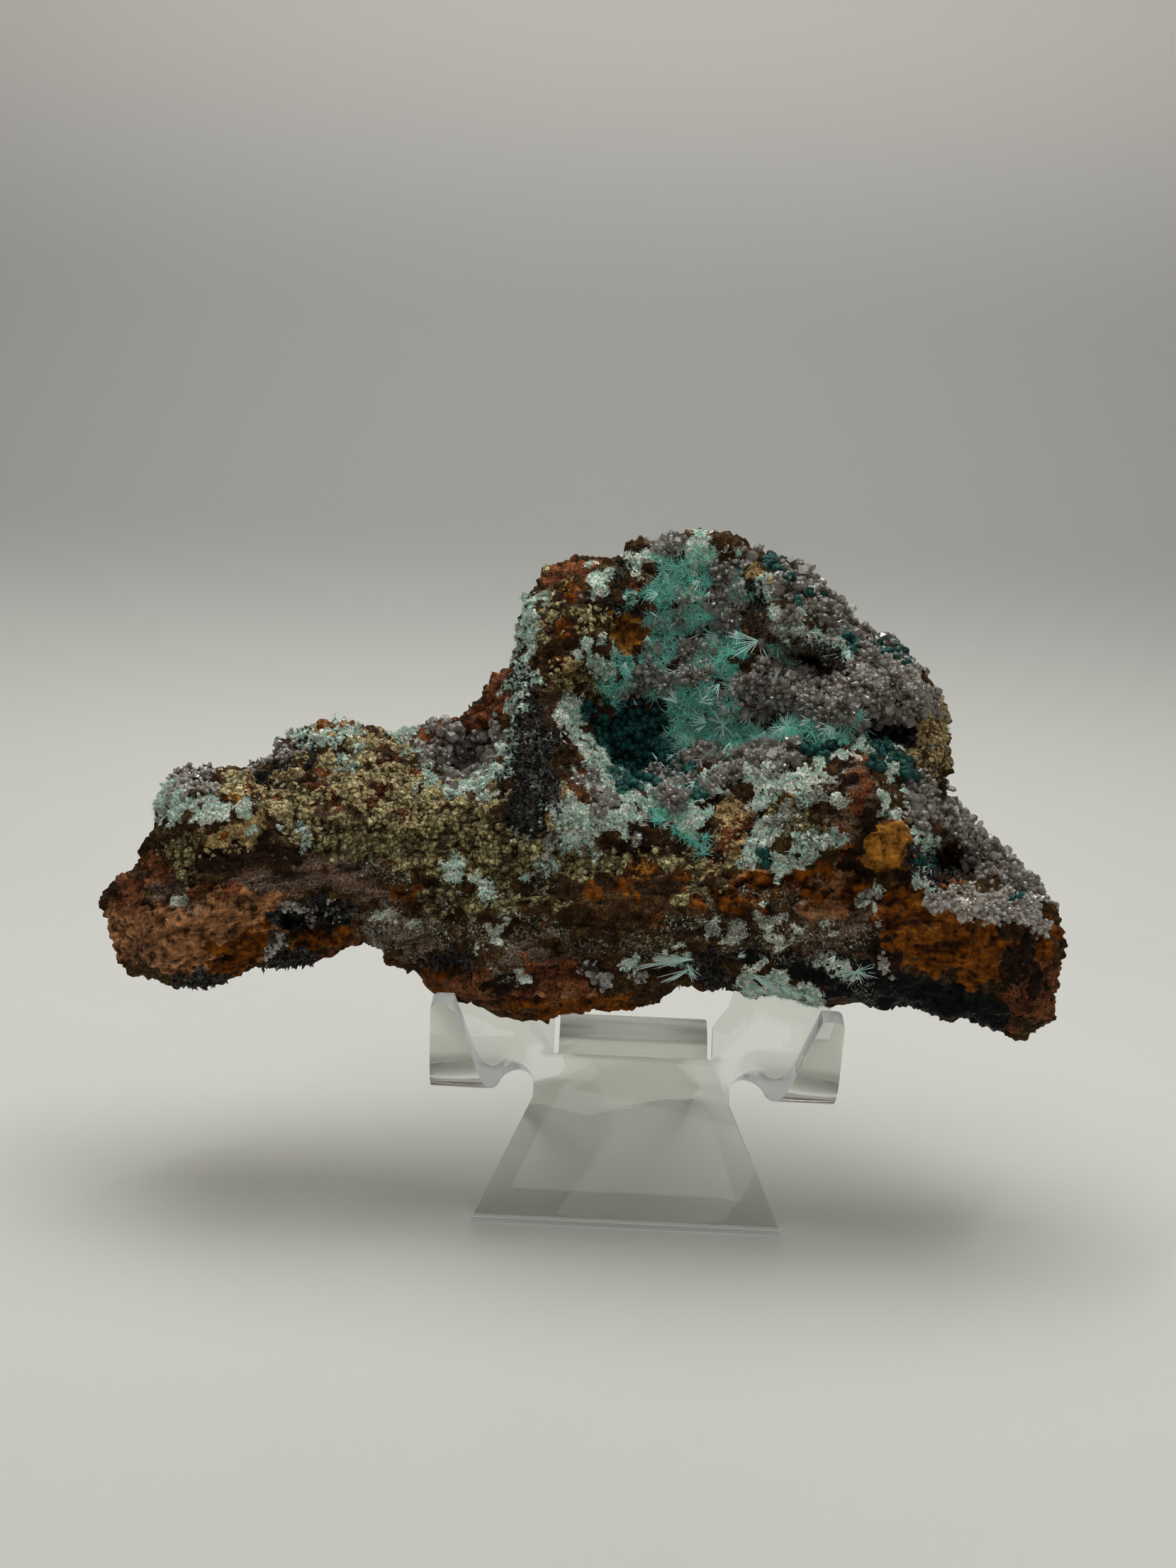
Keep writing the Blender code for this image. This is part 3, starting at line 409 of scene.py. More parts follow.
# Needle sprays: u, w, the way they point in degrees (0 right, 90 up), fan in degrees,
# how many needles, and their length in mm
SPRAYS = [
    (24.7, 53.2, 205, 84, 10, 4.6), (24.7, 53.2, 297, 24, 4, 4.8), (36.8, 51.4, 242, 86, 11, 4.2),
    (18.6, 54.9, 200, 120, 14, 2.2), (12.0, 56.8, 160, 20, 3, 1.6), (12.3, 55.6, 235, 30, 4, 1.6),
    (14.0, 53.1, 15, 10, 2, 1.6), (16.4, 52.4, 65, 30, 4, 1.4), (19.3, 41.7, 90, 150, 26, 2.9),
    (19.3, 41.7, 260, 120, 12, 2.4), (16.8, 42.4, 150, 90, 14, 2.6), (16.6, 41.8, 212, 20, 5, 2.8),
    (21.6, 40.9, 308, 34, 10, 2.3), (28.5, 41.3, 270, 150, 22, 2.8), (28.5, 41.3, 80, 120, 10, 1.8),
    (34.6, 41.6, 230, 140, 14, 2.4), (9.4, 37.6, 303, 9, 5, 4.4), (12.4, 38.0, 352, 10, 3, 2.5),
    (12.5, 37.4, 200, 60, 6, 1.2), (28.8, 42.8, 90, 8, 2, 2.2), (24.2, 49.2, 60, 20, 3, 1.6),
    (14.0, 50.0, 195, 30, 4, 2.2), (9.2, 57.4, 330, 25, 3, 2.0), (10.2, 60.0, 200, 80, 8, 2.0),
    (18.0, 47.0, 235, 60, 7, 2.4), (21.0, 55.2, 250, 60, 7, 2.0), (16.0, 45.5, 20, 60, 8, 2.4),
    (25.0, 40.2, 250, 60, 8, 2.2), (31.5, 41.5, 200, 60, 8, 2.0), (33.5, 42.2, 95, 60, 6, 1.8),
    (23.0, 43.0, 250, 70, 8, 2.4), (10.5, 46.8, 200, 60, 7, 2.0), (13.0, 44.5, 130, 80, 12, 2.6),
    (17.2, 60.5, 250, 50, 6, 1.8), (9.0, 54.0, 275, 60, 6, 1.8), (15.0, 62.6, 215, 90, 10, 2.0),
    (5.2, 50.4, 265, 50, 6, 1.8), (14.5, 33.0, 220, 60, 5, 1.8), (18.2, 31.8, 160, 70, 9, 1.6),
    (17.6, 28.6, 120, 80, 9, 1.6), (31.0, 44.6, 250, 60, 6, 1.8), (26.0, 49.0, 235, 50, 5, 1.8),
    (20.5, 38.6, 260, 60, 6, 2.0), (43.6, 31.6, 350, 60, 6, 1.6), (15.5, 66.4, 100, 90, 10, 1.4),
    (12.0, 49.2, 170, 50, 5, 2.0), (7.5, 45.2, 130, 60, 5, 1.8), (24.8, 44.5, 270, 60, 6, 2.2),
    (14.5, 8.4, 182, 18, 16, 6.0), (15.2, 7.6, 208, 26, 12, 4.2), (14.5, 8.0, 305, 36, 9, 2.6),
    (10.5, 8.9, 178, 16, 8, 4.0), (23.6, 6.6, 335, 30, 14, 2.6), (26.0, 5.8, 337, 28, 14, 2.6),
    (28.8, 5.0, 335, 30, 12, 2.4), (25.0, 5.2, 335, 30, 12, 2.4), (38.3, 7.3, 90, 330, 26, 2.9),
    (24.4, 5.8, 325, 50, 14, 1.8), (27.2, 5.0, 325, 50, 14, 1.8), (30.2, 4.2, 330, 50, 12, 1.6),
    (35.0, 9.0, 230, 60, 8, 1.8), (20.5, 9.6, 20, 60, 6, 1.4), (8.5, 29.4, 320, 24, 8, 2.2),
]

# How far above the crust the sprays start (mm)
SPRAY_LIFT = 0.9

# Crystals in a cluster for each square millimetre of its radius
CLUSTER_DENSITY = 26

# Blue-green balls, listed one by one: u, w, diameter in mm
BALLS = [
    (7.0, 37.3, 1.5), (25.8, 65.6, 1.3), (26.8, 64.4, 1.3), (27.4, 63.0, 1.1), (28.0, 61.8, 1.0),
    (31.2, 60.2, 1.1), (32.0, 59.6, 0.9), (37.6, 53.7, 1.2), (39.4, 53.2, 1.0), (41.0, 53.1, 1.3),
    (42.4, 52.3, 1.1), (43.6, 50.9, 1.5), (44.8, 50.3, 1.1), (2.5, 45.0, 1.4), (0.0, 43.8, 1.3),
    (4.2, 44.2, 1.3), (9.3, 43.6, 1.3), (10.6, 42.6, 1.4), (44.6, 36.0, 1.3), (45.7, 34.8, 1.1),
    (41.5, 37.3, 1.2), (33.2, 38.3, 1.2), (31.4, 38.9, 1.2), (60.6, 17.3, 0.9), (47.3, 22.4, 1.1),
]


# Calcite clusters in the hollow: u, w, radius in mm
CLUSTERS = [
    (14.3, 51.8, 1.9), (14.9, 48.6, 1.5), (8.6, 48.3, 1.7), (11.2, 47.5, 1.3), (22.6, 47.5, 1.7),
    (24.7, 43.9, 1.7), (31.6, 44.2, 1.9), (33.8, 42.6, 1.5), (36.2, 43.9, 1.7), (40.7, 45.8, 1.9),
    (30.5, 48.4, 1.3), (24.2, 36.3, 1.4), (20.8, 34.5, 1.5), (27.0, 36.3, 1.4), (18.3, 32.5, 1.1),
    (11.9, 30.8, 1.5), (14.2, 33.5, 1.2), (9.6, 34.6, 1.1), (28.5, 56.7, 1.5), (11.2, 66.2, 1.2),
    (18.4, 62.6, 1.9), (17.8, 59.0, 1.5), (12.4, 56.5, 1.2), (29.2, 60.8, 1.5), (31.6, 57.2, 1.7),
    (34.0, 55.4, 1.3), (40.0, 50.6, 1.7), (43.0, 47.6, 1.5), (46.0, 44.6, 1.4), (44.2, 42.2, 1.4),
    (37.6, 47.0, 1.5), (27.0, 45.4, 1.5), (20.6, 56.8, 1.3), (50.6, 29.0, 1.3), (55.0, 24.0, 1.3),
    (59.5, 19.6, 1.2), (-19.0, 38.0, 1.6), (-16.2, 37.2, 1.2), (17.4, 37.8, 1.2), (46.8, 31.4, 1.3),
]

# Lumps that stand out of the front: u, w, half width and half height, how far (mm)
LUMPS = [
    (41.8, 24.6, 4.6, 4.2, 2.2), (38.0, 31.5, 2.6, 6.5, 1.2), (20.2, 28.0, 3.0, 4.6, 0.8),
    (-48, 29, 7.0, 3.0, 0.6), (-30, 36, 6.0, 5.0, 0.8), (5.0, 55.5, 3.4, 3.0, -0.2),
    (-8.0, 36.0, 3.0, 12.0, 0.8), (-17.5, 21.0, 2.6, 2.0, 0.7), (-36, 40, 5.0, 2.5, 0.5),
    (32.0, 51.4, 6.0, 1.8, -1.8), (23.6, 59.6, 1.6, 2.6, -1.2), (-42, 14.6, 5.0, 1.8, -0.9),
    (15.0, 48.5, 3.0, 4.0, 0.8), (10.0, 49.0, 3.0, 2.4, 0.6), (26.5, 46.5, 5.0, 3.0, 0.9),
    (41.0, 48.5, 6.0, 3.0, 0.8), (-18.0, 36.5, 3.4, 3.0, -0.9), (42.5, 41.0, 4.0, 1.6, -1.6),
    (20.8, 49.4, 2.6, 1.6, -1.0), (11.5, 36.5, 3.0, 2.6, -1.2), (29.5, 43.0, 3.0, 1.2, -0.8),
    (31.0, 64.0, 4.0, 3.5, -2.2), (39.0, 56.5, 4.0, 3.5, -1.5),
]


def smooth_step(value):
    """Ease a value from 0 to 1."""
    value = np.clip(value, 0.0, 1.0)
    return value * value * (3 - 2 * value)


def to_view_ray(u, w, v):
    """Move a point of the picture plane along its view ray to depth v."""
    spread = (VIEW_DISTANCE + v) / VIEW_DISTANCE
    return u * spread, v, VIEW_CENTRE_W + (w - VIEW_CENTRE_W) * spread


def frame_matrix():
    """Matrix from the viewer-facing frame to the part's frame, in metres."""
    pitch = math.radians(FRAME_PITCH_DEG)
    roll = math.radians(FRAME_ROLL_DEG)
    right0 = Vector((1.0, 0.0, 0.0))
    up0 = Vector((0.0, math.sin(pitch), math.cos(pitch)))
    away = Vector((0.0, math.cos(pitch), -math.sin(pitch)))
    right = right0 * math.cos(roll) + up0 * math.sin(roll)
    up = up0 * math.cos(roll) - right0 * math.sin(roll)
    turn = Matrix((right, away, up)).transposed().to_4x4()
    origin = Vector((FRAME_SHIFT[0], FRAME_SHIFT[1], FRAME_HEIGHT)) * MM
    return Matrix.Translation(origin) @ turn


VIEW = frame_matrix()


def picture_places(co):
    """Where points of the part show in the picture plane, and how far behind it they lie (mm)."""
    back = np.array(VIEW.inverted())
    local = (co @ back[:3, :3].T + back[:3, 3]) / MM
    spread = (VIEW_DISTANCE + local[:, 1]) / VIEW_DISTANCE
    return local[:, 0] / spread, VIEW_CENTRE_W + (local[:, 2] - VIEW_CENTRE_W) / spread, local[:, 1]


def coverage(strokes, u, w):
    """How deep inside its brush strokes each point lies: 0.5 on the edge, more inside."""
    inside = np.full(u.shape, -1e3)
    for stroke in strokes:
        beads = stroke if len(stroke) > 1 else stroke * 2
        for (u0, w0, r0), (u1, w1, r1) in zip(beads, beads[1:]):
            du = u1 - u0
            dw = w1 - w0
            along = ((u - u0) * du + (w - w0) * dw) / max(du * du + dw * dw, 1e-6)
            along = np.clip(along, 0.0, 1.0)
            gap = np.hypot(u - u0 - along * du, w - w0 - along * dw)
            inside = np.maximum(inside, r0 + (r1 - r0) * along - gap)
    return 0.5 + inside / EDGE_SOFTNESS


def fractal_at(points, size, seed, octaves=3):
    """Smooth fractal noise at points in mm, about -1 to 1."""
    offset = Vector((seed * 17.3, seed * 5.1, seed * 9.7))
    return np.array([noise.fractal(Vector(p) + offset, 0.9, 2.0, octaves) for p in points / size])


def cells_at(points, size, seed):
    """Distance to the nearest cell centre, and to the nearest cell edge, for rounded grains."""
    offset = Vector((seed * 3.7, seed * 11.9, seed * 7.3))
    found = [noise.voronoi(Vector(p) + offset)[0] for p in points / size]
    near = np.array([d[0] for d in found])
    second = np.array([d[1] for d in found])
    return near, second - near


def vertex_array(mesh):
    """Read a mesh's vertices."""
    co = np.empty(len(mesh.vertices) * 3)
    mesh.vertices.foreach_get("co", co)
    return co.reshape(-1, 3)


def vertex_normals(mesh):
    """Read a mesh's vertex normals."""
    normals = np.empty(len(mesh.vertices) * 3)
    mesh.vertex_normals.foreach_get("vector", normals)
    return normals.reshape(-1, 3)


def set_vertices(mesh, co):
    """Write a mesh's vertices."""
    mesh.vertices.foreach_set("co", co.ravel())
    mesh.update()


def set_attribute(mesh, name, values):
    """Store one number for each vertex under a name."""
    layer = mesh.attributes.get(name) or mesh.attributes.new(name, "FLOAT", "POINT")
    layer.data.foreach_set("value", values.astype(np.float32))


def get_attribute(mesh, name):
    """Read the number stored for each vertex under a name."""
    values = np.empty(len(mesh.vertices))
    mesh.attributes[name].data.foreach_get("value", values)
    return values


def only(obj):
    """Select one object and make it the active one."""
    bpy.ops.object.select_all(action="DESELECT")
    obj.select_set(True)
    bpy.context.view_layer.objects.active = obj
    return obj


def apply_modifiers(obj):
    """Apply all of an object's modifiers in order."""
    only(obj)
    for modifier in list(obj.modifiers):
        bpy.ops.object.modifier_apply(modifier=modifier.name)


def copy_node(name, new_name):
    """Copy a solid of the frame as a new piece, with its loose triangles merged."""
    obj = bpy.data.objects.new(new_name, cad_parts[name].data.copy())
    bpy.context.scene.collection.objects.link(obj)
    only(obj)
    bpy.ops.object.mode_set(mode="EDIT")
    bpy.ops.mesh.select_all(action="SELECT")
    bpy.ops.mesh.remove_doubles(threshold=1e-6)
    bpy.ops.object.mode_set(mode="OBJECT")
    obj.data.materials.clear()
    return obj


def paint_minerals(mesh):
    """Store each mineral's share of the surface, from the strokes of front and back."""
    co = vertex_array(mesh)
    u, w, v = picture_places(co)
    points = co / MM
    shift_u = 0.9 * fractal_at(points, 4.5, 1) + 0.4 * fractal_at(points, 1.4, 2)
    shift_w = 0.9 * fractal_at(points, 4.5, 3) + 0.4 * fractal_at(points, 1.4, 4)
    ragged = [fractal_at(points, 2.6, seed, 5) for seed in (31, 32, 33, 34)]
    ragged = [field / field.std() for field in ragged]
    hollow = smooth_step(2 - 2 * np.hypot(u - HOLLOW_U, w - HOLLOW_W) / HOLLOW_REACH)
    middle = MIDDLE_DEPTH + MIDDLE_LEAN * w + HOLLOW_DEPTH * hollow
    front = smooth_step((middle + 4.0 - v) / 3.0)
    masks = {}
    for i, (mineral, strokes) in enumerate(FRONT.items()):
        shown = coverage(strokes, u + shift_u, w + shift_w)
        hidden = coverage(BACK[mineral], u + 2 * shift_u, w + 2 * shift_w)
        share = np.where(front > 0.5, shown, hidden)
        sign = 1 if i % 2 else -1
        share = np.clip(share, -2.0, 1.6) + RAGGED[mineral] * sign * ragged[i % 4]
        masks[mineral] = smooth_step((share - 0.30) / 0.40)
        set_attribute(mesh, mineral, masks[mineral])
    set_attribute(mesh, "front", front)
    return masks


def roughen(mesh, masks):
    """Give each mineral its own relief, and store how recessed each point lies, which the finish darkens as
    painted shade.
    """
    co = vertex_array(mesh)
    normals = vertex_normals(mesh)
    points = co / MM
    u, w, v = picture_places(co)
    lumps = np.abs(fractal_at(points, 6.0, 5, 4))
    knots = np.abs(fractal_at(points, 2.3, 6, 4))
    grit = fractal_at(points, 0.9, 10, 3)
    near, _ = cells_at(points, 0.95, 1)
    grain_near, _ = cells_at(points, 1.6, 2)
    rosette_near, _ = cells_at(points, 2.9, 4)
    _, crack_edge = cells_at(points, 1.35, 3)
    slant = np.stack([(u + 0.35 * w) / 7.0, (w - 0.22 * u) / 0.9, v / 2.5], axis=1)
    streak = fractal_at(slant, 1.0, 7)
    layers = np.stack([(u - 0.2 * w) / 6.0, (w + 0.12 * u) / 1.1, v / 3.0], axis=1)
    layer = fractal_at(layers, 1.0, 8)
    slope = np.stack([(u + 0.3 * w) / 6.0, (w - 0.3 * u) / 0.8, v / 3.0], axis=1)
    bedding = fractal_at(slope, 1.0, 12)
    ribs = fractal_at(np.stack([u / 0.9, w / 6.0, v / 2.0], axis=1), 1.0, 9)
    grains = 0.5 - near
    knobs = 0.55 - grain_near
    cracks = smooth_step(crack_edge / 0.22) - 1.0
    blue = np.clip(masks["emerald"] + masks["deep"], 0, 1)
    crystals = np.clip(masks["grey"] + masks["white"], 0, 1)
    even = np.clip(masks["ochre"] + masks["olive"] + masks["mauve"] + masks["sienna"], 0, 1)
    height = (1.5 - 0.6 * even) * (lumps - 0.3) + 1.1 * (knots - 0.28) * (1 - 0.65 * even) + 0.22 * grit
    coarse = height.copy()
    loose = masks["rust"] + masks["tan"] + masks["dark"] + masks["cream"] + 0.4
    height += 0.55 * grains * np.clip(loose, 0, 1)
    height += 0.6 * knobs * np.clip(masks["aqua"] + 0.5 * masks["olive"] + 0.4 * masks["cream"], 0, 1)
    height += 0.6 * cracks * masks["olive"] + 0.4 * cracks * masks["cream"]
    height += (0.55 * layer + 0.25 * grains) * masks["ochre"]
    height += 0.55 * bedding * np.clip(masks["sienna"] + masks["mauve"], 0, 1)
    height += 0.60 * streak * masks["slick"] * (1 - blue)
    height += 0.70 * ribs * masks["black"] * (1 - masks["slick"])
    height += 1.3 * (0.60 - rosette_near) * np.clip(crystals + 0.7 * blue, 0, 1)
    height += 0.25 * masks["aqua"]
    fine = height - coarse
    for lump_u, lump_w, half_u, half_w, rise in LUMPS:
        reach = 1 - np.hypot((u - lump_u) / half_u, (w - lump_w) / half_w)
        height += rise * smooth_step(1.6 * reach) * (v < MIDDLE_DEPTH + MIDDLE_LEAN * w)
    near_stand = (np.abs(np.abs(co[:, 0] / MM - STAND_X) - HOOK_X) < HOOK_REACH) & (co[:, 2] / MM < HOOK_TOP)
    height = np.where(near_stand | (co[:, 1] / MM > BACK_REACH), np.minimum(height, 0.0), height)
    set_vertices(mesh, co + normals * (height * MM)[:, None])
    # How far each point lies below the relief around it; the rock's finish darkens these recesses as painted
    # shade
    set_attribute(mesh, "recess_shade", np.clip(0.42 - 0.75 * fine - 0.45 * coarse, 0, 1))


def make_rock():
    """Turn the specimen's solid into a craggy surface with its minerals painted on it."""
    rock = copy_node("mineral_specimen", "iron_crust_rock")
    even = rock.modifiers.new("even_faces", "REMESH")
    even.mode = "VOXEL"
    even.voxel_size = ROCK_VOXEL * MM
    soften = rock.modifiers.new("soften_facets", "SMOOTH")
    soften.factor = 0.5
    soften.iterations = 4
    apply_modifiers(rock)
    masks = paint_minerals(rock.data)
    roughen(rock.data, masks)
    triangles = 2 * len(rock.data.polygons)
    if triangles > ROCK_TRIANGLES:
        thin = rock.modifiers.new("thin", "DECIMATE")
        thin.ratio = ROCK_TRIANGLES / triangles
        thin.use_collapse_triangulate = True
        apply_modifiers(rock)
    rock.data.shade_smooth()
    return rock


def new_group_tree(name, kind, inputs, outputs):
    """Start a node group with named inputs (name, socket type, value) and outputs."""
    group = bpy.data.node_groups.new(name, kind)
    for label, socket, value in inputs:
        made = group.interface.new_socket(name=label, in_out="INPUT", socket_type=socket)
        if value is not None:
            made.default_value = value
    for label, socket in outputs:
        group.interface.new_socket(name=label, in_out="OUTPUT", socket_type=socket)
    entry = group.nodes.new("NodeGroupInput")
    out = group.nodes.new("NodeGroupOutput")
    return group, entry, out


def grow_group():
    """Node group that grows small shapes out of a surface, thickest where a mask is high."""
    group, entry, out = new_group_tree(
        "grow_on_surface",
        "GeometryNodeTree",
        [
            ("Surface", "NodeSocketGeometry", None),
            ("Shapes", "NodeSocketCollection", None),
            ("Mask", "NodeSocketString", ""),
            ("Per Square Metre", "NodeSocketFloat", 1e6),
            ("Smallest", "NodeSocketFloat", 0.6),
            ("Largest", "NodeSocketFloat", 1.4),
            ("Lean", "NodeSocketFloat", 0.4),
            ("Droop", "NodeSocketFloat", 0.0),
            ("Seed", "NodeSocketInt", 1),
        ],
        [("Grown", "NodeSocketGeometry")],
    )
    nodes = group.nodes
    link = group.links.new
    mask = nodes.new("GeometryNodeInputNamedAttribute")
    mask.data_type = "FLOAT"
    link(entry.outputs["Mask"], mask.inputs["Name"])
    density = nodes.new("ShaderNodeMath")
    density.operation = "MULTIPLY"
    link(mask.outputs["Attribute"], density.inputs[0])
    link(entry.outputs["Per Square Metre"], density.inputs[1])
    scatter = nodes.new("GeometryNodeDistributePointsOnFaces")
    link(entry.outputs["Surface"], scatter.inputs["Mesh"])
    link(density.outputs[0], scatter.inputs["Density"])
    link(entry.outputs["Seed"], scatter.inputs["Seed"])
    wobble = nodes.new("FunctionNodeRandomValue")
    wobble.data_type = "FLOAT_VECTOR"
    wobble.inputs[0].default_value = (-1, -1, -1)
    wobble.inputs[1].default_value = (1, 1, 1)
    link(entry.outputs["Seed"], wobble.inputs["Seed"])
    leaning = nodes.new("ShaderNodeVectorMath")
    leaning.operation = "SCALE"
    link(wobble.outputs[0], leaning.inputs[0])
    link(entry.outputs["Lean"], leaning.inputs["Scale"])
    down = nodes.new("ShaderNodeCombineXYZ")
    link(entry.outputs["Droop"], down.inputs["Z"])
    upright = nodes.new("ShaderNodeVectorMath")
    upright.operation = "SUBTRACT"
    link(leaning.outputs[0], upright.inputs[0])
    link(down.outputs[0], upright.inputs[1])
    direction = nodes.new("ShaderNodeVectorMath")
    direction.operation = "ADD"
    link(scatter.outputs["Normal"], direction.inputs[0])
    link(upright.outputs[0], direction.inputs[1])
    aim = nodes.new("FunctionNodeAlignRotationToVector")
    aim.axis = "Z"
    link(direction.outputs[0], aim.inputs["Vector"])
    turn = nodes.new("FunctionNodeRandomValue")
    turn.data_type = "FLOAT"
    turn.inputs[3].default_value = math.tau
    link(entry.outputs["Seed"], turn.inputs["Seed"])
    about = nodes.new("FunctionNodeAxisAngleToRotation")
    about.inputs["Axis"].default_value = (0, 0, 1)
    link(turn.outputs[1], about.inputs["Angle"])
    spin = nodes.new("FunctionNodeRotateRotation")
    spin.rotation_space = "LOCAL"
    link(aim.outputs[0], spin.inputs["Rotation"])
    link(about.outputs[0], spin.inputs["Rotate By"])
    size = nodes.new("FunctionNodeRandomValue")
    size.data_type = "FLOAT"
    link(entry.outputs["Smallest"], size.inputs[2])
    link(entry.outputs["Largest"], size.inputs[3])
    link(entry.outputs["Seed"], size.inputs["Seed"])
    shapes = nodes.new("GeometryNodeCollectionInfo")
    shapes.inputs["Separate Children"].default_value = True
    shapes.inputs["Reset Children"].default_value = True
    link(entry.outputs["Shapes"], shapes.inputs["Collection"])
    place = nodes.new("GeometryNodeInstanceOnPoints")
    place.inputs["Pick Instance"].default_value = True
    link(scatter.outputs["Points"], place.inputs["Points"])
    link(shapes.outputs[0], place.inputs["Instance"])
    link(spin.outputs[0], place.inputs["Rotation"])
    link(size.outputs[1], place.inputs["Scale"])
    tint = nodes.new("FunctionNodeRandomValue")
    tint.data_type = "FLOAT"
    store = nodes.new("GeometryNodeStoreNamedAttribute")
    store.data_type = "FLOAT"
    store.domain = "INSTANCE"
    store.inputs["Name"].default_value = "tint"
    link(place.outputs[0], store.inputs["Geometry"])
    link(tint.outputs[1], store.inputs["Value"])
    real = nodes.new("GeometryNodeRealizeInstances")
    link(store.outputs[0], real.inputs["Geometry"])
    link(real.outputs[0], out.inputs["Grown"])
    return group


GROW = grow_group()


def grow(name, ground, shapes, mask, per_mm2, sizes, lean, seed, droop=0.0):
    """Grow a piece of many small shapes out of the ground mesh where its mask allows."""
    piece = bpy.data.objects.new(name, ground)
    bpy.context.scene.collection.objects.link(piece)
    collection = bpy.data.collections.new(name + "_shapes")
    for shape in shapes:
        collection.objects.link(shape)
    growing = piece.modifiers.new("grow", "NODES")
    growing.node_group = GROW
    values = {
        "Shapes": collection,
        "Mask": mask,
        "Per Square Metre": per_mm2 / (MM * MM),
        "Smallest": sizes[0],
        "Largest": sizes[1],
        "Lean": lean,
        "Droop": droop,
        "Seed": seed,
    }
    for item in GROW.interface.items_tree:
        if item.item_type == "SOCKET" and item.in_out == "INPUT" and item.name in values:
            growing[item.identifier] = values[item.name]
    piece.data = ground.copy()
    apply_modifiers(piece)
    for shape in shapes:
        bpy.data.objects.remove(shape)
    bpy.data.collections.remove(collection)
    piece.data.materials.clear()
    return piece


def along_height(mesh):
    """Store how far up a small shape each vertex lies, 0 at its foot and 1 at its tip."""
    co = vertex_array(mesh)
    low = co[:, 2].min()
    high = co[:, 2].max()
    set_attribute(mesh, "tip", (co[:, 2] - low) / (high - low))


def shape_from(name, adder, **settings):
    """Add a primitive as the start of a small shape."""
    bpy.ops.object.select_all(action="DESELECT")
    adder(**settings)
    shape = bpy.context.object
    shape.name = name
    return shape


def prism(name, radius, height, tip_height, flatten=1.0, sides=6):
    """A small crystal: a many-sided prism drawn out to a point."""
    shape = shape_from(
        name, bpy.ops.mesh.primitive_cylinder_add,
        vertices=sides, radius=radius * MM, depth=height * MM, location=(0, 0, height * MM / 2),
    )
    bpy.ops.object.transform_apply(location=True)
    bpy.ops.object.mode_set(mode="EDIT")
    sheet = bmesh.from_edit_mesh(shape.data)
    for face in sheet.faces:
        face.select_set(face.calc_center_median().z > height * MM * 0.9)
    bmesh.update_edit_mesh(shape.data)
    bpy.ops.mesh.extrude_region_move(TRANSFORM_OT_translate={"value": (0, 0, tip_height * MM)})
    bpy.ops.transform.resize(value=(0.22, 0.22, 1.0))
    bpy.ops.mesh.select_all(action="SELECT")
    bpy.ops.transform.resize(value=(1.0, flatten, 1.0), center_override=(0, 0, 0))
    bpy.ops.object.mode_set(mode="OBJECT")
    along_height(shape.data)
    return shape


def spike(name, radius, height, sides=6, waist=0.35):
    """A small pointed crystal, widest a little above its foot."""
    shape = shape_from(
        name, bpy.ops.mesh.primitive_cone_add,
        vertices=sides, radius1=radius * MM, radius2=0.0, depth=height * MM,
        location=(0, 0, height * MM / 2),
    )
    bpy.ops.object.transform_apply(location=True)
    bpy.ops.object.mode_set(mode="EDIT")
    sheet = bmesh.from_edit_mesh(shape.data)
    for face in sheet.faces:
        face.select_set(face.calc_center_median().z < height * MM * 0.01)
    bmesh.update_edit_mesh(shape.data)
    drop = {"value": (0, 0, -waist * height * MM)}
    bpy.ops.mesh.extrude_region_move(TRANSFORM_OT_translate=drop)
    bpy.ops.transform.resize(value=(0.5, 0.5, 1.0))
    bpy.ops.object.mode_set(mode="OBJECT")
    along_height(shape.data)
    return shape


def needle(name, radius, height, sides=3):
    """A thin needle that tapers to a point."""
    shape = shape_from(
        name, bpy.ops.mesh.primitive_cone_add,
        vertices=sides, radius1=radius * MM, radius2=0.0, depth=height * MM,
        location=(0, 0, height * MM * 0.45),
    )
    bpy.ops.object.transform_apply(location=True)
    along_height(shape.data)
    return shape


def pebble(name, radius, subdivisions, uneven, squash, seed):
    """A rounded uneven grain."""
    shape = shape_from(
        name, bpy.ops.mesh.primitive_ico_sphere_add,
        subdivisions=subdivisions, radius=radius * MM,
    )
    bpy.ops.object.mode_set(mode="EDIT")
    bpy.ops.mesh.select_all(action="SELECT")
    bpy.ops.transform.vertex_random(offset=radius * MM * uneven, normal=0.5, seed=seed)
    bpy.ops.transform.resize(value=(1.0, 0.85, squash), center_override=(0, 0, 0))
    bpy.ops.object.mode_set(mode="OBJECT")
    along_height(shape.data)
    return shape


def cube_crystal(name, size, seed):
    """A small blocky crystal standing on a corner, its edges not quite square."""
    shape = shape_from(name, bpy.ops.mesh.primitive_cube_add, size=size * MM)
    bpy.ops.object.mode_set(mode="EDIT")
    bpy.ops.mesh.select_all(action="SELECT")
    bpy.ops.transform.vertex_random(offset=size * MM * 0.12, seed=seed)
    bpy.ops.transform.rotate(value=math.radians(50), orient_axis="X", center_override=(0, 0, 0))
    bpy.ops.transform.rotate(value=math.radians(35), orient_axis="Y", center_override=(0, 0, 0))
    bpy.ops.object.mode_set(mode="OBJECT")
    along_height(shape.data)
    return shape


def tuft(name, stem, count, spread_deg, seed):
    """Several stems spreading from one foot, like a small brush or a rosette."""
    picker = np.random.default_rng(seed)
    matrices = []
    for i in range(count):
        tilt = math.radians(spread_deg) * math.sqrt((i + 0.5) / count)
        turn = i * math.radians(137.5) + picker.uniform(-0.3, 0.3)
        stretch = Matrix.Diagonal((1.0, 1.0, picker.uniform(0.65, 1.1), 1.0))
        matrices.append(Matrix.Rotation(turn, 4, "Z") @ Matrix.Rotation(tilt, 4, "Y") @ stretch)
    piece = planted(name, stem, matrices)
    piece.data.attributes.remove(piece.data.attributes["tint"])
    return piece


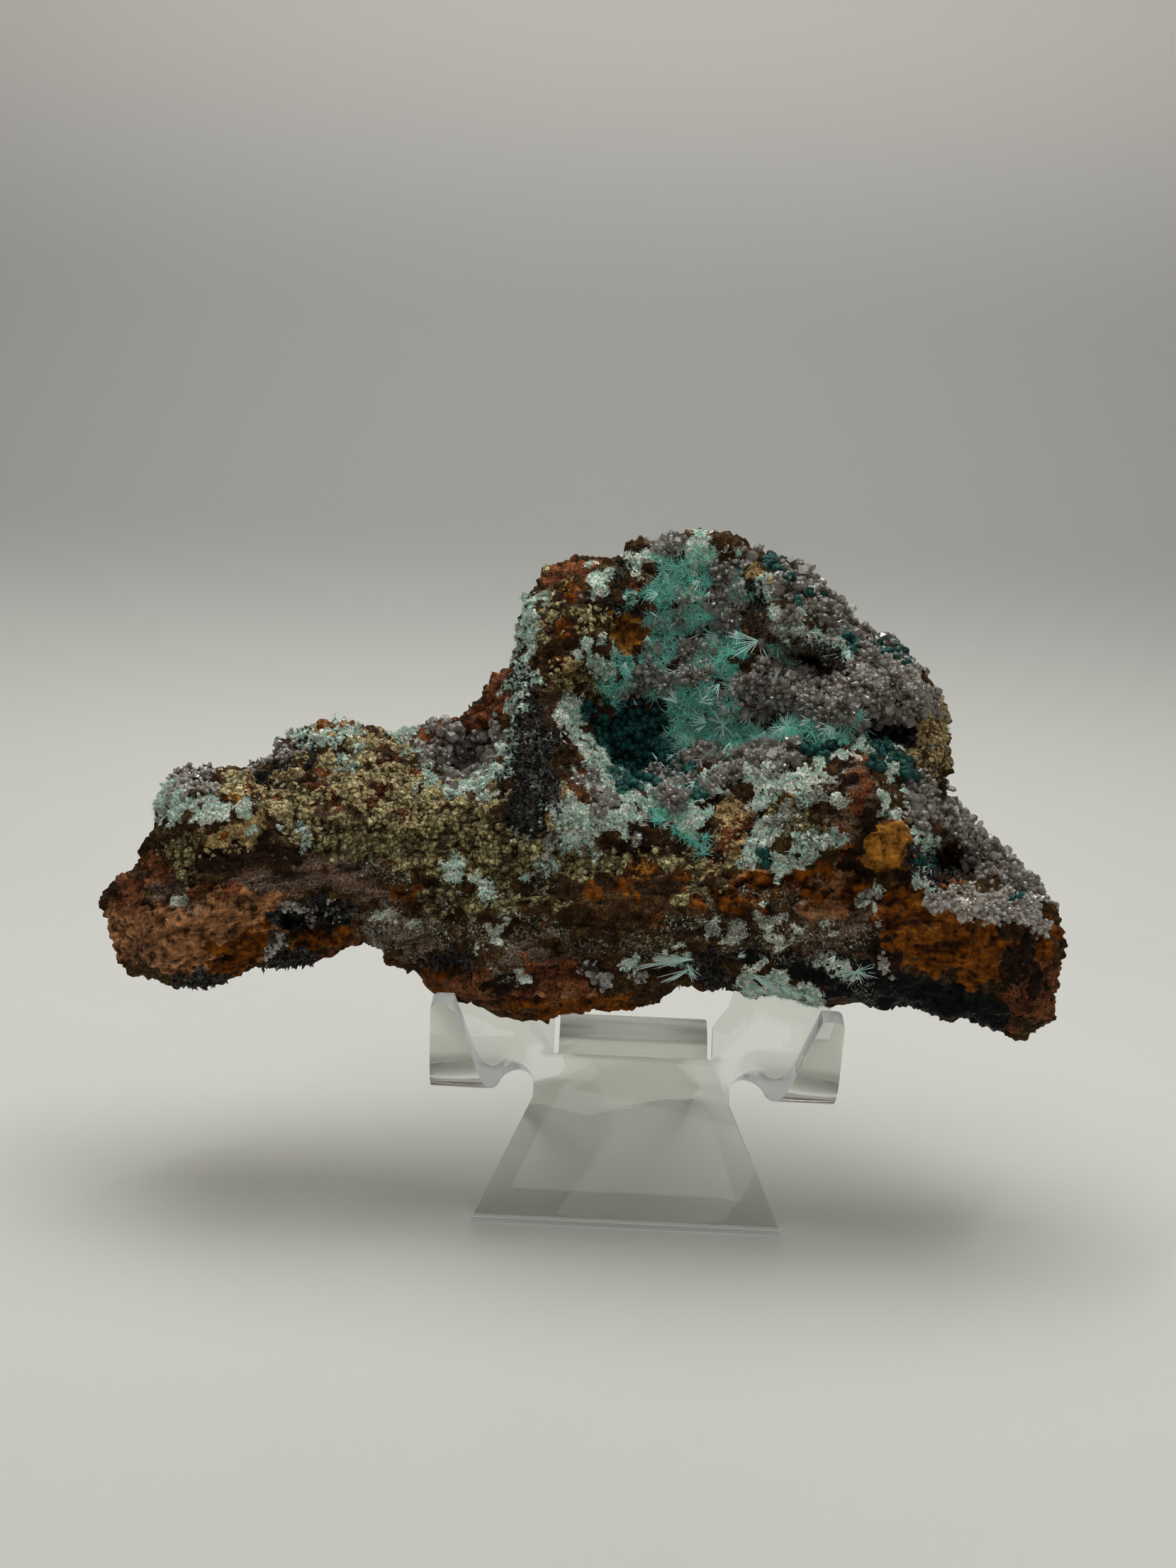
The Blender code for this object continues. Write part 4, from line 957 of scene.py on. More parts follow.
def patchy(points, values, size, seed, cut=0.0):
    """Break a mask up into clumps."""
    clumps = smooth_step((fractal_at(points, size, seed) - cut) / 0.5 + 0.5)
    return np.clip(values, 0, 1) * clumps


def sharpen(mask):
    """Make a soft mask nearly full inside its outline."""
    return smooth_step((mask - 0.3) / 0.4)


def make_ground(rock):
    """Copy the rock's surface and store on it where each kind of small shape may grow."""
    mesh = rock.data.copy()
    points = vertex_array(mesh) / MM
    m = {name: get_attribute(mesh, name) for name in FRONT}
    front = get_attribute(mesh, "front")
    u, _, _ = picture_places(points * MM)
    blue = np.maximum(sharpen(m["aqua"]), np.maximum(sharpen(m["emerald"]), sharpen(m["deep"])))
    crystals = np.maximum(sharpen(m["grey"]), sharpen(m["white"]))
    bare = (1 - blue) * (1 - crystals)
    dull = 1 - np.maximum(sharpen(m["black"]), sharpen(m["slick"]))
    set_attribute(mesh, "grow_cream", sharpen(m["cream"]) * bare * dull * (1 - sharpen(m["rust"])))
    set_attribute(mesh, "grow_tan", np.clip(m["tan"] + 0.2 * m["olive"], 0, 1) * bare * dull)
    even = np.maximum(sharpen(m["sienna"]), np.maximum(sharpen(m["mauve"]), sharpen(m["ochre"])))
    brown = np.clip(0.6 + sharpen(m["rust"]) - sharpen(m["slick"]) - sharpen(m["cream"]) - even, 0, 1)
    set_attribute(mesh, "grow_brown", patchy(points, brown * bare * (0.35 + 0.65 * front), 3.0, 21))
    open_face = 1 - smooth_step((get_attribute(mesh, "recess_shade") - 0.45) / 0.25)
    large = np.clip((u + 24) / 2, 0, 1) * (1 - sharpen(m["white"])) * (1 - 0.7 * sharpen(m["deep"]))
    large *= 0.25 + 0.75 * open_face
    clumped = 0.12 + 0.88 * patchy(points, np.ones(len(points)), 2.4, 25, -0.05)
    set_attribute(mesh, "grow_grey", crystals * large * clumped * (0.15 + 0.85 * front))
    small = crystals * (1 - 0.75 * large)
    set_attribute(mesh, "grow_white", np.maximum(patchy(points, 0.5 * crystals, 1.5, 22), small))
    set_attribute(mesh, "grow_ball", sharpen(m["deep"]) * front)
    fewer = 0.6 * sharpen(m["deep"]) + 0.7 * sharpen(m["aqua"])
    set_attribute(mesh, "grow_velvet", np.clip(sharpen(m["emerald"]) - fewer, 0, 1))
    set_attribute(mesh, "grow_fuzz", sharpen(m["aqua"]))
    set_attribute(mesh, "grow_lace", patchy(points, sharpen(m["aqua"]), 1.2, 23, 0.1))
    pale = np.clip(sharpen(m["frost"]) + patchy(points, 0.5 * sharpen(m["speckle"]), 1.6, 24, 0.15), 0, 1)
    set_attribute(mesh, "grow_speckle", pale * (1 - blue))
    set_attribute(mesh, "grow_black", sharpen(m["black"]) * (1 - sharpen(m["slick"])))
    hairs = coverage([[(24, 57, 1.6), (27.5, 54, 1.8), (34, 52, 1.8)]], *picture_places(points * MM)[:2])
    set_attribute(mesh, "grow_hair", sharpen(hairs) * front)
    return mesh


def surface_tree(mesh):
    """Search tree of a mesh for view rays."""
    corners = [tuple(polygon.vertices) for polygon in mesh.polygons]
    return BVHTree.FromPolygons([tuple(p) for p in vertex_array(mesh)], corners)


def on_surface(tree, u, w):
    """Where the view ray through a picture point meets the specimen, and its normal there."""
    eye = VIEW @ (Vector((0, -VIEW_DISTANCE, VIEW_CENTRE_W)) * MM)
    through = VIEW @ (Vector(to_view_ray(u, w, 0)) * MM)
    place, normal, _, _ = tree.ray_cast(eye, (through - eye).normalized())
    if place is None:
        centre = VIEW @ (Vector(to_view_ray(u, w, MIDDLE_DEPTH + MIDDLE_LEAN * w)) * MM)
        place, normal, _, _ = tree.find_nearest(centre)
    return place, normal


def planted(name, shape, matrices):
    """Join copies of one small shape, each moved by its own matrix, into one piece."""
    co = vertex_array(shape.data)
    tips = get_attribute(shape.data, "tip")
    faces = [tuple(polygon.vertices) for polygon in shape.data.polygons]
    all_co = []
    all_faces = []
    tints = []
    picker = np.random.default_rng(5)
    for i, matrix in enumerate(matrices):
        table = np.array(matrix)
        all_co.append(co @ table[:3, :3].T + table[:3, 3])
        all_faces += [tuple(v + i * len(co) for v in face) for face in faces]
        tints += [picker.random()] * len(co)
    mesh = bpy.data.meshes.new(name)
    mesh.from_pydata(np.concatenate(all_co).tolist(), [], all_faces)
    set_attribute(mesh, "tip", np.tile(tips, len(matrices)))
    set_attribute(mesh, "tint", np.array(tints))
    piece = bpy.data.objects.new(name, mesh)
    bpy.context.scene.collection.objects.link(piece)
    bpy.data.objects.remove(shape)
    return piece


def make_sprays(tree):
    """Stand fans of long needles where they show, each growing from one point."""
    picker = np.random.default_rng(11)
    turn = VIEW.to_3x3()
    matrices = []
    for u, w, aim_deg, fan_deg, count, length in SPRAYS:
        place, normal = on_surface(tree, u, w)
        for i in range(count):
            share = (i + 0.5) / count - 0.5
            angle = math.radians(aim_deg + fan_deg * share + picker.uniform(-8, 8))
            toward = picker.uniform(0.05, 0.45)
            heading = turn @ Vector((math.cos(angle), -toward, math.sin(angle)))
            heading = (heading.normalized() + normal * 0.2).normalized()
            scale = length * picker.uniform(0.5, 1.15)
            stretch = Matrix.Diagonal((1.0, 1.0, scale, 1.0))
            root = place + normal * SPRAY_LIFT * MM
            upright = heading.to_track_quat("Z", "Y").to_matrix().to_4x4()
            matrices.append(Matrix.Translation(root) @ upright @ stretch)
    return planted("aurichalcite_needle_sprays", prism("spray_needle", 0.05, 0.7, 0.3, 1.0, 5), matrices)


def make_balls(tree):
    """Set the larger blue-green balls where they show."""
    matrices = []
    for i, (u, w, diameter) in enumerate(BALLS):
        place, normal = on_surface(tree, u, w)
        size = Matrix.Diagonal((diameter, diameter, diameter, 1.0))
        spin = Matrix.Rotation(i * 1.7, 4, "X") @ Matrix.Rotation(i * 2.3, 4, "Z")
        matrices.append(Matrix.Translation(place + normal * 0.25 * diameter * MM) @ spin @ size)
    return planted("rosasite_large_balls", pebble("ball", 0.5, 2, 0.08, 1.0, 3), matrices)


def make_clusters(tree):
    """Set rounded clusters of blunt and pointed crystals where they show."""
    picker = np.random.default_rng(17)
    matrices = [[], []]
    for u, w, radius in CLUSTERS:
        place, normal = on_surface(tree, u, w)
        aim = normal.to_track_quat("Z", "Y").to_matrix().to_4x4()
        count = int(CLUSTER_DENSITY * radius * radius)
        for i in range(count):
            tilt = math.radians(100) * math.sqrt((i + 0.5) / count)
            turn = i * math.radians(137.5) + picker.uniform(-0.4, 0.4)
            fan = Matrix.Rotation(turn, 4, "Z") @ Matrix.Rotation(tilt, 4, "Y")
            out = radius * picker.uniform(0.25, 0.8)
            spread = picker.uniform(0.6, 1.9)
            stretch = Matrix.Diagonal((spread, spread, picker.uniform(0.8, 1.7), 1.0))
            lift = Matrix.Translation((0, 0, out * MM))
            matrices[i % 2].append(Matrix.Translation(place) @ aim @ fan @ lift @ stretch)
    blunt = planted("calcite_clusters", prism("blunt", 0.30, 0.75, 0.18, 0.8), matrices[0])
    pointed = planted("calcite_cluster_points", spike("pointed", 0.26, 0.95, 5, 0.4), matrices[1])
    return blunt, pointed


def shader_nodes(name):
    """Start a material and return it with its nodes, link call and Principled shader."""
    material = bpy.data.materials.new(name)
    material.use_nodes = True
    nodes = material.node_tree.nodes
    return material, nodes, material.node_tree.links.new, nodes["Principled BSDF"]


def mottle_group():
    """Shader group: fine and coarse mottling of a mineral surface, and its height."""
    group, entry, out = new_group_tree(
        "mineral_mottle",
        "ShaderNodeTree",
        [
            ("Fine Scale", "NodeSocketFloat", 3200.0),
            ("Coarse Scale", "NodeSocketFloat", 850.0),
            ("Grain Scale", "NodeSocketFloat", 1500.0),
        ],
        [
            ("Fine", "NodeSocketFloat"), ("Coarse", "NodeSocketFloat"), ("Broken", "NodeSocketFloat"),
            ("Grain", "NodeSocketFloat"), ("Height", "NodeSocketFloat"), ("Spot", "NodeSocketFloat"),
            ("Layer", "NodeSocketFloat"),
        ],
    )
    nodes = group.nodes
    link = group.links.new
    place = nodes.new("ShaderNodeTexCoord")
    fine = nodes.new("ShaderNodeTexNoise")
    fine.inputs["Detail"].default_value = 3.0
    fine.inputs["Roughness"].default_value = 0.65
    link(place.outputs["Object"], fine.inputs["Vector"])
    link(entry.outputs["Fine Scale"], fine.inputs["Scale"])
    coarse = nodes.new("ShaderNodeTexNoise")
    coarse.inputs["Detail"].default_value = 4.0
    coarse.inputs["Roughness"].default_value = 0.7
    link(place.outputs["Object"], coarse.inputs["Vector"])
    link(entry.outputs["Coarse Scale"], coarse.inputs["Scale"])
    grain = nodes.new("ShaderNodeTexVoronoi")
    grain.feature = "F1"
    link(place.outputs["Object"], grain.inputs["Vector"])
    link(entry.outputs["Grain Scale"], grain.inputs["Scale"])
    parts = nodes.new("ShaderNodeSeparateColor")
    link(coarse.outputs["Color"], parts.inputs["Color"])
    fine_parts = nodes.new("ShaderNodeSeparateColor")
    link(fine.outputs["Color"], fine_parts.inputs["Color"])
    broken = nodes.new("ShaderNodeMapRange")
    broken.inputs["From Min"].default_value = 0.33
    broken.inputs["From Max"].default_value = 0.67
    link(parts.outputs[1], broken.inputs["Value"])
    height = nodes.new("ShaderNodeMath")
    height.operation = "SUBTRACT"
    link(fine.outputs["Fac"], height.inputs[0])
    link(grain.outputs["Distance"], height.inputs[1])
    link(fine_parts.outputs[0], out.inputs["Fine"])
    link(parts.outputs[0], out.inputs["Coarse"])
    link(broken.outputs[0], out.inputs["Broken"])
    link(grain.outputs["Distance"], out.inputs["Grain"])
    link(height.outputs[0], out.inputs["Height"])
    link(fine_parts.outputs[1], out.inputs["Spot"])
    bed = nodes.new("ShaderNodeMapping")
    bed.inputs["Rotation"].default_value = (0.0, math.radians(-7), 0.0)
    bed.inputs["Scale"].default_value = (0.16, 0.4, 1.0)
    link(place.outputs["Object"], bed.inputs["Vector"])
    layer = nodes.new("ShaderNodeTexNoise")
    layer.inputs["Scale"].default_value = 900.0
    layer.inputs["Detail"].default_value = 3.0
    link(bed.outputs["Vector"], layer.inputs["Vector"])
    bands = nodes.new("ShaderNodeMapRange")
    bands.inputs["From Min"].default_value = 0.36
    bands.inputs["From Max"].default_value = 0.64
    link(layer.outputs["Fac"], bands.inputs["Value"])
    link(bands.outputs[0], out.inputs["Layer"])
    return group


def coat_group():
    """Shader group: lay one mineral over what is below, with a broken edge."""
    group, entry, out = new_group_tree(
        "mineral_coat",
        "ShaderNodeTree",
        [
            ("Under", "NodeSocketColor", (0.1, 0.08, 0.05, 1)),
            ("Mask", "NodeSocketFloat", 0.0),
            ("Broken", "NodeSocketFloat", 0.5),
            ("Break Up", "NodeSocketFloat", 0.8),
            ("Variation", "NodeSocketFloat", 0.5),
            ("Dark", "NodeSocketColor", (0.05, 0.04, 0.03, 1)),
            ("Light", "NodeSocketColor", (0.3, 0.25, 0.2, 1)),
        ],
        [("Color", "NodeSocketColor"), ("Cover", "NodeSocketFloat")],
    )
    nodes = group.nodes
    link = group.links.new
    shift = nodes.new("ShaderNodeMath")
    shift.operation = "SUBTRACT"
    shift.inputs[1].default_value = 0.5
    link(entry.outputs["Broken"], shift.inputs[0])
    ragged = nodes.new("ShaderNodeMath")
    ragged.operation = "MULTIPLY_ADD"
    link(shift.outputs[0], ragged.inputs[0])
    link(entry.outputs["Break Up"], ragged.inputs[1])
    link(entry.outputs["Mask"], ragged.inputs[2])
    cover = nodes.new("ShaderNodeMapRange")
    cover.interpolation_type = "SMOOTHSTEP"
    cover.inputs["From Min"].default_value = 0.38
    cover.inputs["From Max"].default_value = 0.58
    link(ragged.outputs[0], cover.inputs["Value"])
    spread = nodes.new("ShaderNodeMapRange")
    spread.inputs["From Min"].default_value = 0.36
    spread.inputs["From Max"].default_value = 0.66
    link(entry.outputs["Variation"], spread.inputs["Value"])
    shade = nodes.new("ShaderNodeMix")
    shade.data_type = "RGBA"
    link(spread.outputs[0], shade.inputs["Factor"])
    link(entry.outputs["Dark"], shade.inputs["A"])
    link(entry.outputs["Light"], shade.inputs["B"])
    lay = nodes.new("ShaderNodeMix")
    lay.data_type = "RGBA"
    link(cover.outputs[0], lay.inputs["Factor"])
    link(entry.outputs["Under"], lay.inputs["A"])
    link(shade.outputs["Result"], lay.inputs["B"])
    link(lay.outputs["Result"], out.inputs["Color"])
    link(cover.outputs[0], out.inputs["Cover"])
    return group


MOTTLE = mottle_group()
COAT = coat_group()

# Colours of the coats, in the order they are laid: mineral, dark, light, which mottling
# varies it, and how broken its edge is
COATS = [
    ("mauve", (0.018, 0.011, 0.007), (0.24, 0.150, 0.098), "Fine", 0.6),
    ("olive", (0.055, 0.040, 0.012), (0.72, 0.620, 0.300), "Coarse", 0.6),
    ("cream", (0.110, 0.080, 0.026), (0.90, 0.780, 0.420), "Coarse", 0.6),
    ("tan", (0.090, 0.054, 0.016), (0.76, 0.540, 0.240), "Fine", 0.6),
    ("sienna", (0.036, 0.013, 0.004), (0.60, 0.275, 0.115), "Coarse", 0.6),
    # The ochre coat's dark colours are partly painted shade of the lower front
    ("ochre", (0.012, 0.003, 0.0002), (0.28, 0.080, 0.0035), "Coarse", 0.5),
    ("rust", (0.026, 0.007, 0.002), (0.36, 0.120, 0.042), "Fine", 0.6),
    ("amber", (0.05, 0.017, 0.0017), (0.59, 0.236, 0.030), "Coarse", 0.5),
    # Partly painted shade: this coat also darkens the left edge and the rings round the knobs
    ("dark", (0.005, 0.0025, 0.001), (0.036, 0.0145, 0.005), "Fine", 0.6),
    # Partly painted shade: this coat also darkens recesses, gaps and cavities
    ("black", (0.003, 0.003, 0.003), (0.110, 0.100, 0.085), "Fine", 0.6),
    ("slick", (0.0006, 0.0006, 0.0007), (0.0036, 0.0035, 0.0042), "Fine", 0.5),
    ("grey", (0.010, 0.007, 0.005), (0.20, 0.155, 0.120), "Fine", 0.6),
    ("white", (0.160, 0.135, 0.110), (0.66, 0.600, 0.530), "Fine", 0.6),
    ("frost", (0.110, 0.120, 0.095), (0.88, 0.930, 0.800), "Fine", 0.74),
    ("emerald", (0.006, 0.066, 0.050), (0.26, 0.780, 0.630), "Coarse", 0.7),
    ("aqua", (0.120, 0.145, 0.105), (0.98, 0.980, 0.860), "Fine", 0.74),
    ("deep", (0.0003, 0.0035, 0.0032), (0.004, 0.034, 0.029), "Coarse", 0.5),
]

# Thin stains under the coats: which mottling places them, their share, how broken they
# are, and their dark and light colours
STAINS = [
    ("Coarse", 0.36, 2.2, (0.016, 0.010, 0.003), (0.160, 0.105, 0.036)),
    ("Spot", 0.26, 2.4, (0.026, 0.008, 0.002), (0.220, 0.085, 0.022)),
]


def group_node(nodes, group):
    """Place a node group in a material."""
    node = nodes.new("ShaderNodeGroup")
    node.node_tree = group
    return node


def attribute_node(nodes, name):
    """Read one of the numbers stored on a mesh's vertices."""
    node = nodes.new("ShaderNodeAttribute")
    node.attribute_name = name
    return node


def math_node(nodes, link, operation, *values):
    """Place a maths node and feed it numbers or sockets."""
    node = nodes.new("ShaderNodeMath")
    node.operation = operation
    for slot, value in zip(node.inputs, values):
        if isinstance(value, (int, float)):
            slot.default_value = value
        else:
            link(value, slot)
    return node.outputs[0]


def mix_colour(nodes, link, factor, first, second, blend="MIX"):
    """Place a colour mix node and feed it colours or sockets."""
    node = nodes.new("ShaderNodeMix")
    node.data_type = "RGBA"
    node.blend_type = blend
    for label, value in (("Factor", factor), ("A", first), ("B", second)):
        slot = next(s for s in node.inputs if s.name == label and s.enabled)
        if isinstance(value, (int, float)):
            slot.default_value = value
        elif isinstance(value, tuple):
            slot.default_value = (*value, 1.0)
        else:
            link(value, slot)
    return node.outputs["Result"] if node.outputs["Result"].enabled else node.outputs[2]


def rock_material():
    """The specimen's crust: every mineral's coat laid over dark brown iron oxide."""
    material, nodes, link, shader = shader_nodes("iron_crust")
    mottle = group_node(nodes, MOTTLE)
    place = nodes.new("ShaderNodeTexCoord")
    below = mix_colour(nodes, link, mottle.outputs["Fine"], (0.005, 0.0022, 0.0006), (0.062, 0.030, 0.009))
    for field, share, broken, dark, light in STAINS:
        stain = group_node(nodes, COAT)
        link(below, stain.inputs["Under"])
        link(mottle.outputs[field], stain.inputs["Broken"])
        link(mottle.outputs["Fine"], stain.inputs["Variation"])
        stain.inputs["Mask"].default_value = share
        stain.inputs["Break Up"].default_value = broken
        stain.inputs["Dark"].default_value = (*dark, 1.0)
        stain.inputs["Light"].default_value = (*light, 1.0)
        below = stain.outputs["Color"]
    covers = {}
    for mineral, dark, light, variation, broken in COATS:
        coat = group_node(nodes, COAT)
        link(below, coat.inputs["Under"])
        link(attribute_node(nodes, mineral).outputs["Fac"], coat.inputs["Mask"])
        link(mottle.outputs["Broken"], coat.inputs["Broken"])
        link(mottle.outputs[variation], coat.inputs["Variation"])
        coat.inputs["Break Up"].default_value = broken
        coat.inputs["Dark"].default_value = (*dark, 1.0)
        coat.inputs["Light"].default_value = (*light, 1.0)
        below = coat.outputs["Color"]
        covers[mineral] = coat.outputs["Cover"]
    banded = mix_colour(nodes, link, mottle.outputs["Layer"], (0.40, 0.35, 0.33), (1.75, 1.80, 1.85))
    below = mix_colour(nodes, link, 0.75, below, banded, "MULTIPLY")
    spots = nodes.new("ShaderNodeMapRange")
    spots.inputs["From Min"].default_value = 0.56
    spots.inputs["From Max"].default_value = 0.62
    link(mottle.outputs["Spot"], spots.inputs["Value"])
    dots = nodes.new("ShaderNodeMapRange")
    dots.inputs["From Min"].default_value = 0.32
    dots.inputs["From Max"].default_value = 0.20
    link(mottle.outputs["Grain"], dots.inputs["Value"])
    dotted = math_node(nodes, link, "MULTIPLY", dots.outputs[0], mottle.outputs["Broken"])
    speckle = attribute_node(nodes, "speckle").outputs["Fac"]
    spotted = math_node(nodes, link, "MAXIMUM", spots.outputs[0], dotted)
    spotted = math_node(nodes, link, "MULTIPLY", spotted, speckle)
    below = mix_colour(nodes, link, spotted, below, (0.36, 0.38, 0.31))
    cracks = nodes.new("ShaderNodeTexVoronoi")
    cracks.feature = "DISTANCE_TO_EDGE"
    cracks.inputs["Scale"].default_value = 1050.0
    link(place.outputs["Object"], cracks.inputs["Vector"])
    gap = nodes.new("ShaderNodeMapRange")
    gap.inputs["From Min"].default_value = 0.03
    gap.inputs["From Max"].default_value = 0.14
    link(cracks.outputs["Distance"], gap.inputs["Value"])
    cracked = math_node(nodes, link, "ADD", covers["olive"], covers["cream"])
    opened = math_node(nodes, link, "SUBTRACT", 1.0, gap.outputs[0])
    crack_dark = math_node(nodes, link, "MULTIPLY", opened, cracked)
    crack_dark = math_node(nodes, link, "MINIMUM", crack_dark, 0.7)
    below = mix_colour(nodes, link, crack_dark, below, (0.012, 0.008, 0.004))
    # Painted shade: the recesses of the relief are darkened towards a brownish grey
    recess_shade = attribute_node(nodes, "recess_shade").outputs["Fac"]
    recess_darkening = nodes.new("ShaderNodeMapRange")
    recess_darkening.inputs["From Min"].default_value = 0.38
    recess_darkening.inputs["From Max"].default_value = 0.80
    recess_darkening.inputs["To Max"].default_value = 0.95
    link(recess_shade, recess_darkening.inputs["Value"])
    below = mix_colour(nodes, link, recess_darkening.outputs[0], below, (0.20, 0.155, 0.13), "MULTIPLY")
    link(below, shader.inputs["Base Color"])
    shine = math_node(nodes, link, "MULTIPLY", covers["slick"], -0.4)
    link(math_node(nodes, link, "ADD", 0.82, shine), shader.inputs["Roughness"])
    bump = nodes.new("ShaderNodeBump")
    bump.inputs["Strength"].default_value = 0.9
    bump.inputs["Distance"].default_value = 0.00022
    link(mottle.outputs["Height"], bump.inputs["Height"])
    link(bump.outputs["Normal"], shader.inputs["Normal"])
    shader.inputs["Specular IOR Level"].default_value = 0.12
    return material


def tinted_material(name, foot, tip, other, roughness, bump_height=0.0001, patch=0.45, green=None):
    """A small-shape finish: darker towards its foot as painted shade under and between the shapes, tinted
    shape by shape and in patches.
    """
    material, nodes, link, shader = shader_nodes(name)
    mottle = group_node(nodes, MOTTLE)
    up = attribute_node(nodes, "tip").outputs["Fac"]
    tint = attribute_node(nodes, "tint").outputs["Fac"]
    # Painted shade: each shape runs from its dark foot colour at the rock to its light tip colour
    body = mix_colour(nodes, link, up, foot, tip)
    own = math_node(nodes, link, "MULTIPLY", tint, 1 - patch)
    share = math_node(nodes, link, "MULTIPLY_ADD", mottle.outputs["Broken"], patch, own)
    body = mix_colour(nodes, link, share, body, other)
    if green:
        greener = attribute_node(nodes, "emerald").outputs["Fac"]
        body = mix_colour(nodes, link, greener, body, green, "MULTIPLY")
    worn = mix_colour(nodes, link, mottle.outputs["Fine"], (0.55, 0.55, 0.55), (1.45, 1.45, 1.45))
    body = mix_colour(nodes, link, 1.0, body, worn, "MULTIPLY")
    link(body, shader.inputs["Base Color"])
    shader.inputs["Roughness"].default_value = roughness
    shader.inputs["Specular IOR Level"].default_value = 0.2
    bump = nodes.new("ShaderNodeBump")
    bump.inputs["Strength"].default_value = 0.6
    bump.inputs["Distance"].default_value = bump_height
    link(mottle.outputs["Height"], bump.inputs["Height"])
    link(bump.outputs["Normal"], shader.inputs["Normal"])
    return material, nodes, link, shader


def crystal_material(name, colour, other, transmission, roughness):
    """See-through calcite with patchy frosting, clear at the tips and darker and browner at the foot, partly
    its own colour and partly painted shade between the crystals.
    """
    material, nodes, link, shader = shader_nodes(name)
    mottle = group_node(nodes, MOTTLE)
    tint = attribute_node(nodes, "tint").outputs["Fac"]
    body = mix_colour(nodes, link, tint, colour, other)
    up = attribute_node(nodes, "tip").outputs["Fac"]
    # Darker, browner foot: partly the calcite's own colour, partly painted shade between the crystals
    foot_tint_and_shade = mix_colour(nodes, link, up, (0.54, 0.46, 0.40), (1.0, 1.0, 1.0))
    body = mix_colour(nodes, link, 1.0, body, foot_tint_and_shade, "MULTIPLY")
    cloud = mix_colour(nodes, link, mottle.outputs["Fine"], (0.6, 0.6, 0.6), (1.15, 1.15, 1.15))
    link(mix_colour(nodes, link, 1.0, body, cloud, "MULTIPLY"), shader.inputs["Base Color"])
    shader.inputs["Transmission Weight"].default_value = transmission
    shader.inputs["IOR"].default_value = 1.6
    frost = nodes.new("ShaderNodeMapRange")
    frost.inputs["To Min"].default_value = roughness * 0.6
    frost.inputs["To Max"].default_value = roughness * 1.8
    link(mottle.outputs["Fine"], frost.inputs["Value"])
    link(frost.outputs[0], shader.inputs["Roughness"])
    return material


def acrylic_material():
    """Clear polished sheet with faint smudges, tinted grey-green as painted shade."""
    material, nodes, link, shader = shader_nodes("clear_acrylic")
    place = nodes.new("ShaderNodeTexCoord")
    smudge = nodes.new("ShaderNodeTexNoise")
    smudge.inputs["Scale"].default_value = 90.0
    smudge.inputs["Detail"].default_value = 5.0
    link(place.outputs["Object"], smudge.inputs["Vector"])
    haze = nodes.new("ShaderNodeMapRange")
    haze.inputs["From Min"].default_value = 0.5
    haze.inputs["From Max"].default_value = 0.8
    haze.inputs["To Min"].default_value = 0.01
    haze.inputs["To Max"].default_value = 0.09
    link(smudge.outputs["Fac"], haze.inputs["Value"])
    axes = nodes.new("ShaderNodeSeparateXYZ")
    link(place.outputs["Object"], axes.inputs[0])
    off_middle = math_node(nodes, link, "SUBTRACT", axes.outputs["X"], STAND_X * MM)
    off_middle = math_node(nodes, link, "ABSOLUTE", off_middle)
    inside = math_node(nodes, link, "LESS_THAN", off_middle, FOLD_HALF_WIDTH * MM)
    risen = nodes.new("ShaderNodeMapRange")
    risen.interpolation_type = "SMOOTHSTEP"
    risen.inputs["From Min"].default_value = FOLD_LOW * MM
    risen.inputs["From Max"].default_value = FOLD_HIGH * MM
    link(axes.outputs["Z"], risen.inputs["Value"])
    bent = math_node(nodes, link, "MULTIPLY", inside, risen.outputs[0])
    rough = math_node(nodes, link, "MULTIPLY_ADD", bent, 0.42, haze.outputs[0])
    link(rough, shader.inputs["Roughness"])
    # Painted shade: the grey-green tint darkens the clear sheet for the darker surroundings it shows; the
    # smudge noise varies it
    colour = mix_colour(nodes, link, smudge.outputs["Fac"], (0.88, 0.892, 0.852), (0.84, 0.852, 0.81))
    link(colour, shader.inputs["Base Color"])
    shader.inputs["Transmission Weight"].default_value = 1.0
    shader.inputs["IOR"].default_value = 1.49
    return material


def glowing_edge_material():
    """The sheet's sawn and wiped edges, given a faint painted glow where light gathered by the clear sheet
    would come out.
    """
    material, nodes, link, shader = shader_nodes("clear_acrylic_glowing_edge")
    place = nodes.new("ShaderNodeTexCoord")
    marks = nodes.new("ShaderNodeTexNoise")
    marks.inputs["Scale"].default_value = 600.0
    link(place.outputs["Object"], marks.inputs["Vector"])
    tone = mix_colour(nodes, link, marks.outputs["Fac"], (0.86, 0.89, 0.87), (0.97, 0.98, 0.97))
    link(tone, shader.inputs["Base Color"])
    shader.inputs["Roughness"].default_value = 0.24
    shader.inputs["Transmission Weight"].default_value = 0.62
    # Painted light: a faint glow on the cut edges, as though lit from inside the sheet
    link(tone, shader.inputs["Emission Color"])
    shader.inputs["Emission Strength"].default_value = 0.11
    shader.inputs["IOR"].default_value = 1.49
    return material


